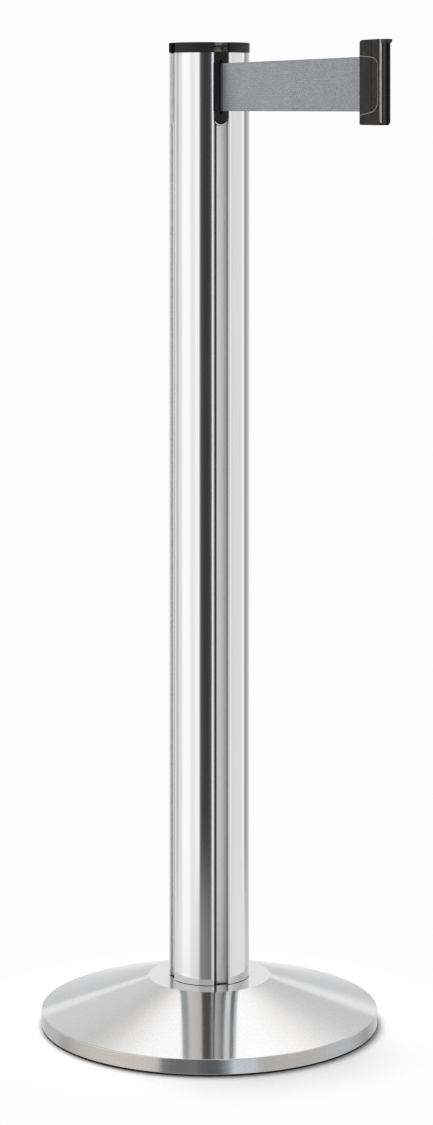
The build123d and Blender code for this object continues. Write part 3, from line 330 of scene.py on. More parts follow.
def exit_insert():
    """Satin black; the ledge and top band that show in the cap's notch carry painted light, a browner, lighter tone,
    strongest on the -Y side.
    """
    m = plastic("insert_satin_plastic", (0.014, 0.0125, 0.012), 0.34, 1500.0, 0.18, 0.00006, 0.3, 0.25)
    nt = m.node_tree
    b = next(n for n in nt.nodes if n.type == "BSDF_PRINCIPLED")
    tc = nt.nodes.new("ShaderNodeTexCoord")
    sep = nt.nodes.new("ShaderNodeSeparateXYZ")
    nt.links.new(tc.outputs["Object"], sep.inputs[0])
    z = sep.outputs[2]
    # painted light: these bands are coloured lighter brown where the notch lets light in
    band = math_node(nt, "MULTIPLY", map_range(nt, z, 955.3 * MM, 956.3 * MM, 0.0, 1.0), map_range(nt, z, 960.4 * MM, 959.8 * MM, 0.0, 1.0))
    top = math_node(nt, "MULTIPLY", map_range(nt, z, 961.7 * MM, 962.2 * MM, 0.0, 1.0), map_range(nt, z, 964.6 * MM, 963.9 * MM, 0.0, 1.0))
    lit = math_node(nt, "MAXIMUM", band, top)
    lit = math_node(nt, "MULTIPLY", lit, map_range(nt, sep.outputs[1], -0.6 * MM, 0.8 * MM, 1.0, 0.28, True))
    old = b.inputs["Base Color"].links[0].from_socket
    grain = noise(nt, tc.outputs["Object"], 420.0, 3.0, 0.6)
    painted_light_brown = ramp(nt, grain, [(0.35, (0.15, 0.125, 0.11)), (0.65, (0.26, 0.215, 0.19))])
    nt.links.new(mix_rgb(nt, lit, old, painted_light_brown), b.inputs["Base Color"])
    return m


def webbing():
    """Twill-woven polyester: yarns along X and Z, in the piece's own coordinates."""
    m, nt, b = new_material("webbing_weave")
    tc = nt.nodes.new("ShaderNodeTexCoord")
    sep = nt.nodes.new("ShaderNodeSeparateXYZ")
    nt.links.new(tc.outputs["Object"], sep.inputs[0])
    x, y, z = sep.outputs
    pitch = 1.55 * MM
    U = math_node(nt, "MULTIPLY", x, 1.0 / pitch)
    V = math_node(nt, "MULTIPLY", z, 1.0 / pitch)
    fu = math_node(nt, "FRACT", U)
    fv = math_node(nt, "FRACT", V)
    su = math_node(nt, "SINE", math_node(nt, "MULTIPLY", fu, math.pi))
    sv = math_node(nt, "SINE", math_node(nt, "MULTIPLY", fv, math.pi))
    cell = math_node(nt, "ADD", math_node(nt, "FLOOR", U), math_node(nt, "FLOOR", V))
    parity = math_node(nt, "LESS_THAN", math_node(nt, "FLOORED_MODULO", cell, 4.0), 2.0)
    warp = math_node(nt, "MULTIPLY", parity, math_node(nt, "ADD", math_node(nt, "MULTIPLY", sv, 0.7), math_node(nt, "MULTIPLY", su, 0.3)))
    weft = math_node(nt, "MULTIPLY", math_node(nt, "SUBTRACT", 1.0, parity), math_node(nt, "ADD", math_node(nt, "MULTIPLY", su, 0.7), math_node(nt, "MULTIPLY", sv, 0.3)))
    height = math_node(nt, "ADD", warp, weft)
    fuzz = noise(nt, tc.outputs["Object"], 2600.0, 2.0, 0.6)
    drift = noise(nt, tc.outputs["Object"], 45.0, 3.0, 0.5)
    tone = math_node(nt, "ADD", math_node(nt, "MULTIPLY", height, 0.55), math_node(nt, "ADD", math_node(nt, "MULTIPLY", fuzz, 0.3), math_node(nt, "MULTIPLY", drift, 0.25)))
    base = ramp(nt, tone, [(0.2, (0.075, 0.086, 0.104)), (0.5, (0.175, 0.196, 0.230)), (0.85, (0.295, 0.322, 0.366))])
    over = mix_rgb(nt, math_node(nt, "MULTIPLY", parity, 0.45), base, (0.31, 0.335, 0.375))
    mottle = noise(nt, tc.outputs["Object"], 620.0, 1.0, 0.5)
    over = mix_rgb(nt, 1.0, over, ramp(nt, mottle, [(0.36, (0.76, 0.76, 0.76)), (0.64, (1.2, 1.2, 1.2))]), "MULTIPLY")
    # selvedges are woven tighter and read a little darker
    edge = math_node(nt, "ABSOLUTE", math_node(nt, "SUBTRACT", z, (BELT_Z0 + BELT_W / 2) * MM))
    sel = map_range(nt, edge, (BELT_W / 2 - 1.5) * MM, (BELT_W / 2 - 0.5) * MM, 0.0, 0.3)
    col = mix_rgb(nt, sel, over, (0.08, 0.09, 0.105))
    # painted shade where it leaves the slit: darker towards the slit, near-black inside it
    painted_slit_shade = map_range(nt, x, 43.0 * MM, 66.0 * MM, 0.45, 0.0, True)
    inside = map_range(nt, x, 47.5 * MM, 43.0 * MM, 0.0, 0.93, True)
    col = mix_rgb(nt, math_node(nt, "MAXIMUM", painted_slit_shade, inside), col, (0.03, 0.033, 0.038))
    nt.links.new(col, b.inputs["Base Color"])
    b.inputs["Roughness"].default_value = 0.85
    b.inputs["Specular IOR Level"].default_value = 0.25
    b.inputs["Sheen Weight"].default_value = 0.25
    b.inputs["Sheen Roughness"].default_value = 0.5
    bump(nt, b, math_node(nt, "ADD", height, math_node(nt, "MULTIPLY", fuzz, 0.4)), 0.5, 0.0002)
    return m


def rubber(name, col=(0.02, 0.02, 0.021)):
    return plastic(name, col, 0.75, 900.0, 0.4, 0.00015, 0.3, 0.3)


def cast_iron():
    m, nt, b = new_material("iron_cast")
    v = object_coords(nt)
    n1 = noise(nt, v, 420.0, 5.0, 0.65)
    n2 = noise(nt, v, 30.0, 4.0, 0.6)
    nt.links.new(ramp(nt, n2, [(0.3, (0.035, 0.035, 0.037)), (0.62, (0.07, 0.07, 0.072)), (0.8, (0.11, 0.09, 0.075))]), b.inputs["Base Color"])
    b.inputs["Metallic"].default_value = 0.35
    nt.links.new(map_range(nt, n1, 0.3, 0.7, 0.5, 0.8), b.inputs["Roughness"])
    bump(nt, b, n1, 0.6, 0.0006)
    return m


MAT = {
    "polished_aluminium": metal_polished_extrusion(),
    "polished_cover": metal_polished_cover(),
    "rubber_black": rubber("rubber_moulded"),
    "iron": cast_iron(),
    "zinc_steel": metal("zinc_plated_steel", (0.62, 0.63, 0.64), 0.28),
    "cast_aluminium": metal("aluminium_casting", (0.58, 0.585, 0.59), 0.45, 500.0, strength=0.4),
    "cap_plastic": plastic("cap_satin_plastic", (0.024, 0.0198, 0.0180), 0.36, 1500.0, 0.18, 0.00006, 0.25, 0.24),
    "dark_steel": metal("black_oxide_steel", (0.08, 0.08, 0.085), 0.35, 600.0),
    "insert_plastic": exit_insert(),
    "satin_aluminium": metal("satin_aluminium_extruded", (0.80, 0.81, 0.815), 0.22, 800.0, stretch=(1, 1, 0.02), strength=0.12, vary=0.04),
    "cassette_plastic": plastic("cassette_plastic_moulded", (0.04, 0.04, 0.044), 0.5),
    "lining": plastic("friction_lining", (0.09, 0.06, 0.045), 0.9, 700.0, 0.6, 0.0003, 0.5, 0.2),
    "bronze": metal("sintered_bronze", (0.6, 0.42, 0.2), 0.4, 900.0, strength=0.3),
    "spring_steel": metal("spring_strip_steel", (0.26, 0.27, 0.31), 0.25, 500.0),
    "webbing": webbing(),
    "reel_plastic": plastic("reel_acetal", (0.5, 0.5, 0.47), 0.4),
    "roller_plastic": plastic("roller_acetal", (0.75, 0.75, 0.72), 0.35),
    "clip_metal": textured_coating("clip_grain_coating", (0.0135, 0.0115, 0.0102), 0.5),
    "plate_steel": face_plate(),
    # painted highlight: light metal for the bead that stands in for the cover's edge highlight
    "bead_metal": metal("clip_bead_metal", (0.34, 0.32, 0.31), 0.4, 900.0, 0.4),
    "tongue_plastic": tongue_plastic(),
}


# ------------------------------------------------------------------ mesh helpers
def link(obj):
    bpy.context.scene.collection.objects.link(obj)
    return obj


def mesh_object(name, verts, faces, normals, mat):
    """verts in mm. normals is a list, per face, of one normal per corner, or None for flat."""
    me = bpy.data.meshes.new(name)
    me.from_pydata([(x * MM, y * MM, z * MM) for x, y, z in verts], [], faces)
    me.polygons.foreach_set("use_smooth", [True] * len(me.polygons))
    flat = []
    for f, ns in zip(faces, normals):
        if ns is None:
            a, b, c = (Vector(verts[i]) for i in f[:3])
            n = (b - a).cross(c - a)
            if n.length < 1e-12 and len(f) > 3:
                d = Vector(verts[f[3]])
                n = (c - a).cross(d - a)
            n = n.normalized() if n.length > 0 else Vector((0, 0, 1))
            flat.extend([tuple(n)] * len(f))
        else:
            flat.extend([tuple(n) for n in ns])
    me.normals_split_custom_set(flat)
    me.update()
    o = link(bpy.data.objects.new(name, me))
    me.materials.append(mat)
    return o


def straight(p, q):
    """A straight run of an outline with its outward normal, for a counter-clockwise outline."""
    dx, dy = q[0] - p[0], q[1] - p[1]
    d = math.hypot(dx, dy)
    n = (dy / d, -dx / d)
    return [(p[0], p[1], *n), (q[0], q[1], *n)]


def arc(cx, cy, r, a0, a1, step=6.0, sign=1):
    """An arc run from a0 to a1 degrees; sign 1 has normals away from the centre, -1 towards it."""
    n = max(1, int(math.ceil(abs(a1 - a0) / step)))
    out = []
    for i in range(n + 1):
        a = math.radians(a0 + (a1 - a0) * i / n)
        c, s = math.cos(a), math.sin(a)
        out.append((cx + r * c, cy + r * s, sign * c, sign * s))
    return out


def rounded(pts, step=10.0):
    """Runs of a closed counter-clockwise outline through (x, y, fillet radius) points."""
    n = len(pts)
    corners = []
    for i in range(n):
        p = Vector(pts[i][:2])
        a = Vector(pts[i - 1][:2])
        b = Vector(pts[(i + 1) % n][:2])
        r = pts[i][2] if len(pts[i]) > 2 else 0.0
        if r <= 0:
            corners.append((p, p, None))
            continue
        u, v = (a - p).normalized(), (b - p).normalized()
        half = math.acos(max(-1, min(1, u.dot(v)))) / 2
        t = r / math.tan(half)
        bis = (u + v).normalized()
        c = p + bis * (r / math.sin(half))
        p0, p1 = p + u * t, p + v * t
        cross = (p - a).x * (b - p).y - (p - a).y * (b - p).x
        a0 = math.degrees(math.atan2(p0.y - c.y, p0.x - c.x))
        a1 = math.degrees(math.atan2(p1.y - c.y, p1.x - c.x))
        if cross > 0:
            while a1 < a0:
                a1 += 360
            corners.append((p0, p1, arc(c.x, c.y, r, a0, a1, step, 1)))
        else:
            while a1 > a0:
                a1 -= 360
            corners.append((p0, p1, arc(c.x, c.y, r, a0, a1, step, -1)))
    runs = []
    for i in range(n):
        _, p1, run = corners[i]
        if run:
            runs.append(run)
        q0 = corners[(i + 1) % n][0]
        if (q0 - p1).length > 1e-7:
            runs.append(straight(p1, q0))
    return runs


def flatten(runs):
    """Points and, per segment, the two end normals."""
    P, S = [], []
    for run in runs:
        for a, b in zip(run, run[1:]):
            P.append((a[0], a[1]))
            S.append(((a[2], a[3]), (b[2], b[3])))
    return P, S


def revolve(name, runs, mat, segs=256):
    """Turns a closed (r, z) outline round Z."""
    P, S = flatten(runs)
    n = len(P)
    verts, faces, normals = [], [], []
    cs = [(math.cos(2 * math.pi * k / segs), math.sin(2 * math.pi * k / segs)) for k in range(segs)]
    for c, s in cs:
        for r, z in P:
            verts.append((r * c, r * s, z))
    for k in range(segs):
        k2 = (k + 1) % segs
        for i in range(n):
            j = (i + 1) % n
            (nr0, nz0), (nr1, nz1) = S[i]
            faces.append((k * n + i, k2 * n + i, k2 * n + j, k * n + j))
            normals.append([
                (nr0 * cs[k][0], nr0 * cs[k][1], nz0), (nr0 * cs[k2][0], nr0 * cs[k2][1], nz0),
                (nr1 * cs[k2][0], nr1 * cs[k2][1], nz1), (nr1 * cs[k][0], nr1 * cs[k][1], nz1),
            ])
    return mesh_object(name, verts, faces, normals, mat)


class Builder:
    """Collects faces of several parts into one mesh."""

    def __init__(self):
        self.v, self.f, self.n = [], [], []

    def add(self, verts, faces, normals):
        k = len(self.v)
        self.v += verts
        self.f += [tuple(i + k for i in f) for f in faces]
        self.n += normals

    def wall(self, loop_a, loop_b, seg_normals, flip=False):
        """Side faces between two loops of 3-D points with matching segment normals."""
        k = len(self.v)
        n = len(loop_a)
        self.v += list(loop_a) + list(loop_b)
        for i in range(n):
            j = (i + 1) % n
            f = (k + i, k + j, k + n + j, k + n + i)
            ns = [seg_normals[i][0], seg_normals[i][1], seg_normals[i][1], seg_normals[i][0]]
            if flip:
                f, ns = f[::-1], ns[::-1]
            self.f.append(f)
            self.n.append(ns)

    def cap(self, loops, z, up):
        """A flat face at height z bounded by 2-D loops; the first is the outside."""
        k = len(self.v)
        pts = [Vector((x, y, 0)) for loop in loops for x, y in loop]
        self.v += [(p.x, p.y, z) for p in pts]
        for tri in tessellate_polygon([[Vector((x, y, 0)) for x, y in loop] for loop in loops]):
            a, b, c = (pts[i] for i in tri)
            area = (b - a).cross(c - a).z
            if abs(area) < 1e-9:
                continue
            t = tuple(tri) if (area > 0) == up else tuple(tri)[::-1]
            self.f.append(tuple(i + k for i in t))
            self.n.append([(0, 0, 1 if up else -1)] * 3)

    def prism(self, loops, z0, z1):
        """A straight prism of outer and inner outlines, each (P, S); inner ones are holes."""
        for i, (P, S) in enumerate(loops):
            hole = i > 0
            sgn = -1 if hole else 1
            seg = [((sgn * a[0], sgn * a[1], 0), (sgn * b[0], sgn * b[1], 0)) for a, b in S]
            self.wall([(x, y, z0) for x, y in P], [(x, y, z1) for x, y in P], seg, flip=hole)
        self.cap([P for P, _ in loops], z0, False)
        self.cap([P for P, _ in loops], z1, True)

    def make(self, name, mat):
        return mesh_object(name, self.v, self.f, self.n, mat)


def spin2(p, deg):
    c, s = math.cos(math.radians(deg)), math.sin(math.radians(deg))
    return (p[0] * c - p[1] * s, p[0] * s + p[1] * c)


def spin_run(run, deg):
    return [(*spin2(r[:2], deg), *spin2(r[2:], deg)) for r in run]


def keep(obj, body, slot_name, *nodes):
    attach(obj, body)
    if nodes:
        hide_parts(*nodes)
    return obj


SLOT = {s["node"]: s["material_slot"] for s in frame["record"]["subparts"]}

# ------------------------------------------------------------------ BASE
T = (HUB_Z - RIM_Z) / (BASE_R - HUB_R)
DROP = COVER_T / math.cos(math.atan(T))
cover = revolve("base_cover_skin", rounded([
    (9.0, HUB_Z - COVER_T, 0), (HUB_R - (DROP - COVER_T) / T, HUB_Z - COVER_T, 0),
    (BASE_R - COVER_T, HUB_Z - T * (BASE_R - COVER_T - HUB_R) - DROP, 0),
    (BASE_R - COVER_T, COVER_FOOT, 0.3), (BASE_R, COVER_FOOT, 0.35), (BASE_R, RIM_Z, 0.8),
    (HUB_R, HUB_Z, 1.6), (9.0, HUB_Z, 0),
]), MAT["polished_cover"], 360)
keep(cover, "post", "polished_cover", "base_cover")

ring = revolve("floor_ring_moulding", rounded([
    (146.0, 0.0, 0.6), (164.3, 0.0, 0.5), (164.75, 0.5, 0.3), (164.75, COVER_FOOT - 0.02, 0.0),
    (162.8, COVER_FOOT - 0.02, 0), (162.8, 3.98, 0.2), (146.0, 3.98, 0.5),
]), MAT["rubber_black"], 360)
keep(ring, "post", "rubber_black", "floor_ring")

# ------------------------------------------------------------------ POST TUBE
OUT_A = math.degrees(math.atan2(HALF_W + LIP, math.sqrt((POST_R - LIP) ** 2 - (HALF_W + LIP) ** 2)))
LIP_X = math.sqrt((POST_R - LIP) ** 2 - (HALF_W + LIP) ** 2)


def channel_runs(with_floor):
    """One channel, local frame, from the outer wall on the -Y side to the one on the +Y side."""
    runs = [arc(LIP_X, -(HALF_W + LIP), LIP, -OUT_A, 90.0, 9.0)]
    if with_floor:
        runs.append(straight((LIP_X, -HALF_W), (U_R, -HALF_W)))
        u = []
        for i in range(25):
            t = math.radians(-90 + 180 * i / 24)
            nx, ny = math.cos(t) / U_DEPTH, -math.sin(t) / HALF_W
            d = math.hypot(nx, ny)
            u.append((U_R - U_DEPTH * math.cos(t), HALF_W * math.sin(t), nx / d, ny / d))
        runs.append(u)
        runs.append(straight((U_R, HALF_W), (LIP_X, HALF_W)))
        runs.append(arc(LIP_X, HALF_W + LIP, LIP, -90.0, OUT_A, 9.0))
    return runs


outer = []
for q in range(4):
    outer += [spin_run(r, 90 * q) for r in channel_runs(True)]
    outer.append(arc(0, 0, POST_R, 90 * q + OUT_A, 90 * q + 90 - OUT_A, 1.5))
inner = []
IN_A = math.degrees(math.asin(WEB_HW / CAV_R))
IN_X = math.sqrt(CAV_R ** 2 - WEB_HW ** 2)
for q in range(4):
    for a, b in (((IN_X, -WEB_HW), (WEB_R, -WEB_HW)), ((WEB_R, -WEB_HW), (WEB_R, WEB_HW)), ((WEB_R, WEB_HW), (IN_X, WEB_HW))):
        inner.append(straight(spin2(a, 90 * q), spin2(b, 90 * q)))
    inner.append(arc(0, 0, CAV_R, 90 * q + IN_A, 90 * q + 90 - IN_A, 3.0))

WIN_Z0 = LEG_ROUND_Z - HALF_W
EDGE = 1.9
FLOOR_Z0 = WIN_Z0 - EDGE - 0.4
tube = Builder()
# full section below the windows
tube.prism([flatten(outer), flatten(inner)], TUBE_Z0, FLOOR_Z0)
# four wall segments beside the windows
for q in range(4):
    seg = [spin_run(arc(LIP_X, HALF_W + LIP, LIP, -90.0, OUT_A, 9.0), 90 * q),
           arc(0, 0, POST_R, 90 * q + OUT_A, 90 * q + 90 - OUT_A, 1.5),
           spin_run(arc(LIP_X, -(HALF_W + LIP), LIP, -OUT_A, 90.0, 9.0), 90 * q + 90)]
    c = [spin2(p, 90 * q + 90) for p in ((LIP_X, -HALF_W), (WEB_R, -HALF_W), (WEB_R, -WEB_HW), (IN_X, -WEB_HW))]
    d = [spin2(p, 90 * q) for p in ((IN_X, WEB_HW), (WEB_R, WEB_HW), (WEB_R, HALF_W), (LIP_X, HALF_W))]
    seg += [straight(c[i], c[i + 1]) for i in range(3)]
    back = arc(0, 0, CAV_R, 90 * q + 90 - IN_A, 90 * q + IN_A, 3.0, -1)
    seg.append(back)
    seg += [straight(d[i], d[i + 1]) for i in range(3)]
    tube.prism([flatten(seg)], FLOOR_Z0, TUBE_Z1)
# channel floors run up to each window's round foot, with a chamfered edge
for q in range(4):
    cols = []
    for i in range(33):
        t = math.radians(-90 + 180 * i / 32)
        y = HALF_W * math.sin(t)
        x = U_R - U_DEPTH * math.cos(t)
        nx, ny = math.cos(t) / U_DEPTH, -math.sin(t) / HALF_W
        d = math.hypot(nx, ny)
        ztop = LEG_ROUND_Z - math.sqrt(max(0.0, HALF_W ** 2 - y ** 2))
        cols.append((x, y, nx / d, ny / d, ztop))
    rows = []
    for x, y, nx, ny, zt in cols:
        k = 0.98
        rows.append([
            (x, y, FLOOR_Z0), (x, y, zt - EDGE), (x - nx * 1.5, y - ny * 1.5, zt),
            (WEB_R, y * k, zt), (WEB_R, y * k, FLOOR_Z0),
        ])
    verts, faces, normals = [], [], []
    for (x, y, nx, ny, zt), r in zip(cols, rows):
        for p in r:
            xy = spin2(p[:2], 90 * q)
            verts.append((*xy, p[2]))
    for i in range(32):
        for j in range(4):
            a, b = i * 5 + j, (i + 1) * 5 + j
            faces.append((a, b, b + 1, a + 1))
            if j == 0:
                n0 = (*spin2((cols[i][2], cols[i][3]), 90 * q), 0)
                n1 = (*spin2((cols[i + 1][2], cols[i + 1][3]), 90 * q), 0)
                normals.append([n0, n1, n1, n0])
            elif j == 1:
                ns = []
                for kk in (i, i + 1, i + 1, i):
                    nx, ny = spin2((cols[kk][2], cols[kk][3]), 90 * q)
                    ns.append(tuple(Vector((nx, ny, 0.9)).normalized()))
                normals.append(ns)
            elif j == 2:
                normals.append([(0, 0, 1)] * 4)
            else:
                normals.append([(*spin2((-1, 0), 90 * q), 0)] * 4)
    tube.add(verts, faces, normals)
# raised lip that follows each window's round foot, just under the insert
LIP_C, LIP_T, LIP_OUT = 7.45, 0.72, 38.1
for q in range(4):
    stations = [math.radians(-90 - 54 + 108 * i / 24) for i in range(25)]
    prof = [(33.6, -LIP_T, 0.0, -1.0), (LIP_OUT - LIP_T, -LIP_T, 0.0, -1.0)]
    prof += [(LIP_OUT - LIP_T + LIP_T * math.cos(math.radians(a)), LIP_T * math.sin(math.radians(a)), math.cos(math.radians(a)), math.sin(math.radians(a))) for a in range(-75, 76, 15)]
    prof += [(LIP_OUT - LIP_T, LIP_T, 0.0, 1.0), (33.6, LIP_T, 0.0, 1.0)]
    m = len(prof)
    verts, faces, normals = [], [], []
    for a in stations:
        for px, pr, _, _ in prof:
            # pr grows towards the arc's centre, up into the insert
            r = LIP_C - pr
            xy = spin2((px, r * math.cos(a)), 90 * q)
            verts.append((*xy, LEG_ROUND_Z + r * math.sin(a)))
    for i in range(len(stations) - 1):
        for j in range(m):
            k = (j + 1) % m
            faces.append((i * m + j, i * m + k, (i + 1) * m + k, (i + 1) * m + j))
            ns = []
            for ii, jj in ((i, j), (i, k), (i + 1, k), (i + 1, j)):
                a = stations[ii]
                nx, nr = (prof[jj][2], prof[jj][3]) if k else (-1.0, 0.0)
                ns.append((*spin2((nx, -nr * math.cos(a)), 90 * q), -nr * math.sin(a)))
            normals.append(ns)
    faces.append(tuple(range(m))[::-1])
    normals.append(None)
    faces.append(tuple((len(stations) - 1) * m + j for j in range(m)))
    normals.append(None)
    # wind the faces to agree with their normals
    fixed_f, fixed_n = [], []
    for f, ns in zip(faces, normals):
        a, b, c = (Vector(verts[i]) for i in f[:3])
        g = (b - a).cross(c - a)
        if ns is not None and g.dot(sum((Vector(v) for v in ns), Vector())) < 0:
            f, ns = f[::-1], ns[::-1]
        fixed_f.append(f)
        fixed_n.append(ns)
    tube.add(verts, fixed_f, fixed_n)
# screw bosses inside
for q in range(4):
    cx, cy = spin2((34.0, 0), 45 + 90 * q)
    P, S = flatten([arc(cx, cy, 3.8, 0, 360, 15.0)])
    P2, S2 = flatten([arc(cx, cy, 2.1, 0, 360, 20.0)])
    tube.prism([(P, S), (P2, S2)], TUBE_Z0 + 8.0, 949.5)
tube_obj = tube.make("post_extrusion", MAT["polished_aluminium"])
keep(tube_obj, "post", "polished_aluminium", "post_tube")

# ------------------------------------------------------------------ HEAD CAP
CAP_R, NOTCH_HW, NOTCH_R, BEV_X, BEV_Y = 39.85, 6.95, 29.8, 35.8, 10.2


def cap_outline(inset):
    """The cap's outline moved in by inset."""
    R = CAP_R - inset
    hw = NOTCH_HW + inset
    nr = NOTCH_R - inset
    runs = []
    a_in = math.degrees(math.asin(hw / R))
    by = BEV_Y + inset * 0.9
    a_out = math.degrees(math.asin(by / R))
    rl, rr = 0.9, 0.8
    d_in = math.degrees(rl / R)
    d_out = math.degrees(rr / R)
    for q in range(4):
        x_in = R * math.cos(math.radians(a_in))
        e0 = (R * math.cos(math.radians(-a_in - d_in)), R * math.sin(math.radians(-a_in - d_in)))
        turn = []
        for k in range(6):
            t = k / 5
            c = (x_in, -hw)
            b0, b1, b2 = (1 - t) ** 2, 2 * t * (1 - t), t * t
            x = e0[0] * b0 + c[0] * b1 + (x_in - rl) * b2
            y = e0[1] * b0 + c[1] * b1 + -hw * b2
            a = math.radians(-a_in - d_in + (90 + a_in + d_in) * t)
            turn.append((x, y, math.cos(a), math.sin(a)))
        bev = (BEV_X - inset * 0.35, hw)
        o = (R * math.cos(math.radians(a_out)), by)
        bl = math.hypot(o[0] - bev[0], o[1] - bev[1])
        ux, uy = (o[0] - bev[0]) / bl, (o[1] - bev[1]) / bl
        s0 = (o[0] - ux * rr, o[1] - uy * rr)
        s1 = (R * math.cos(math.radians(a_out + d_out)), R * math.sin(math.radians(a_out + d_out)))
        n0 = math.degrees(math.atan2(-ux, uy))
        turn2 = []
        for k in range(6):
            t = k / 5
            b0, b1, b2 = (1 - t) ** 2, 2 * t * (1 - t), t * t
            a = math.radians(n0 + (a_out + d_out - n0) * t)
            turn2.append((s0[0] * b0 + o[0] * b1 + s1[0] * b2, s0[1] * b0 + o[1] * b1 + s1[1] * b2, math.cos(a), math.sin(a)))
        piece = [turn, straight((x_in - rl, -hw), (nr, -hw)), straight((nr, -hw), (nr, hw)), straight((nr, hw), bev), straight(bev, s0), turn2]
        runs += [spin_run(r, 90 * q) for r in piece]
        runs.append(arc(0, 0, R, 90 * q + a_out + d_out, 90 * q + 90 - a_in - d_in, 2.0))
    return flatten(runs)


cap = Builder()
levels = [(0.3, TUBE_Z1), (0.0, TUBE_Z1 + 0.3)]
FR = 0.9
for i in range(0, 7):
    a = math.radians(90 * i / 6)
    levels.append((FR * (1 - math.cos(a)), TOTAL_H - FR + FR * math.sin(a)))
outs = [(cap_outline(i), z, i) for i, z in levels]
for k in range(len(outs) - 1):
    (P0, S0), z0, i0 = outs[k]
    (P1, S1), z1, i1 = outs[k + 1]

    def tilt(z, level):
        if level <= TUBE_Z1 + 0.01:
            return -0.7
        if level <= TUBE_Z1 + 0.31:
            return 0.0
        s = (level - (TOTAL_H - FR)) / FR
        return max(0.0, min(1.0, s))

    t0, t1 = tilt(0, z0), tilt(0, z1)
    if k == 0:
        t0 = t1 = -0.7
    h0, h1 = math.sqrt(max(0.0, 1 - t0 * t0)), math.sqrt(max(0.0, 1 - t1 * t1))
    base = len(cap.v)
    n = len(P0)
    cap.v += [(x, y, z0) for x, y in P0] + [(x, y, z1) for x, y in P1]
    for i in range(n):
        j = (i + 1) % n
        a, b = S0[i]
        cap.f.append((base + i, base + j, base + n + j, base + n + i))
        cap.n.append([(a[0] * h0, a[1] * h0, t0), (b[0] * h0, b[1] * h0, t0), (b[0] * h1, b[1] * h1, t1), (a[0] * h1, a[1] * h1, t1)])
top_outline = outs[-1][0][0]
DISH_R = 27.0
circle = lambda cx, cy, r, step: flatten([arc(cx, cy, r, 0, 360, step)])[0]
bosses = [spin2((34.0, 0), 45 + 90 * q) for q in range(4)]
loops = [top_outline, circle(0, 0, DISH_R, 5.0)] + [circle(x, y, 3.9, 15.0) for x, y in bosses]
cap.cap(loops, TOTAL_H, True)
cap.cap([outs[0][0][0]], TUBE_Z1, False)
# dish wall and floor
P, S = flatten([arc(0, 0, DISH_R, 0, 360, 5.0)])
P2, S2 = flatten([arc(0, 0, DISH_R - 0.7, 0, 360, 5.0)])
seg = [((-a[0] * 0.7, -a[1] * 0.7, 0.7), (-b[0] * 0.7, -b[1] * 0.7, 0.7)) for a, b in S]
cap.wall([(x, y, TOTAL_H) for x, y in P], [(x, y, TOTAL_H - 0.7) for x, y in P2], seg, flip=True)
cap.cap([P2], TOTAL_H - 0.7, True)
for x0, y0 in bosses:
    P, S = flatten([arc(x0, y0, 3.9, 0, 360, 15.0)])
    seg = [((-a[0], -a[1], 0), (-b[0], -b[1], 0)) for a, b in S]
    cap.wall([(x, y, TOTAL_H) for x, y in P], [(x, y, 961.98) for x, y in P], seg, flip=True)
    cap.cap([P], 961.98, True)
cap_obj = cap.make("head_cap_moulding", MAT["cap_plastic"])
keep(cap_obj, "post", "cap_plastic", "head_cap")

# ------------------------------------------------------------------ BELT
Z0, Z1 = BELT_Z0, BELT_Z0 + BELT_W


def belt_sheet(name, path, nz=30, wobble=0.0):
    """A woven strap along a path of (x, y, z) centre points, closed, with rounded selvedges."""
    n = len(path)
    prof = []
    h = BELT_T / 2
    for j in range(nz + 1):
        prof.append((h, Z0 + h + (BELT_W - 2 * h) * j / nz, 1.0, 0.0))
    for k in range(1, 4):
        a = math.radians(45 * k)
        prof.append((h * math.cos(a), Z1 - h + h * math.sin(a), math.cos(a), math.sin(a)))
    for j in range(nz + 1):
        prof.append((-h, Z1 - h - (BELT_W - 2 * h) * j / nz, -1.0, 0.0))
    for k in range(1, 4):
        a = math.radians(180 + 45 * k)
        prof.append((h * math.cos(a), Z0 + h + h * math.sin(a), math.cos(a), math.sin(a)))
    m = len(prof)
    verts, faces, normals = [], [], []
    nr = []
    for i, (x, y) in enumerate(path):
        x0, y0 = path[max(i - 1, 0)]
        x1, y1 = path[min(i + 1, n - 1)]
        d = math.hypot(x1 - x0, y1 - y0)
        nr.append((-(y1 - y0) / d, (x1 - x0) / d))
    for i, (x, y) in enumerate(path):
        nx, ny = nr[i]
        for off, z, a, b in prof:
            w = 0.0
            if wobble:
                u = (z - (Z0 + Z1) / 2) / (BELT_W / 2)
                w = wobble * (math.sin(x * 0.021 + 1.3) * 0.6 * u + 0.5 * math.sin(x * 0.047 + u * 2.2))
                w *= min(1.0, max(0.0, (x - path[0][0]) / 40.0)) * min(1.0, max(0.0, (path[-1][0] - 16 - x) / 40.0))
            verts.append((x + nx * (off + w), y + ny * (off + w), z))
    for i in range(n - 1):
        for j in range(m):
            k = (j + 1) % m
            faces.append((i * m + j, i * m + k, (i + 1) * m + k, (i + 1) * m + j))
            ns = []
            for ii, jj in ((i, j), (i, k), (i + 1, k), (i + 1, j)):
                nx, ny = nr[ii]
                a, b = prof[jj][2], prof[jj][3]
                ns.append((nx * a, ny * a, b))
            normals.append(ns)
    faces.append(tuple(range(m))[::-1])
    normals.append(None)
    faces.append(tuple((n - 1) * m + j for j in range(m)))
    normals.append(None)
    o = mesh_object(name, verts, faces, normals, MAT["webbing"])
    return o


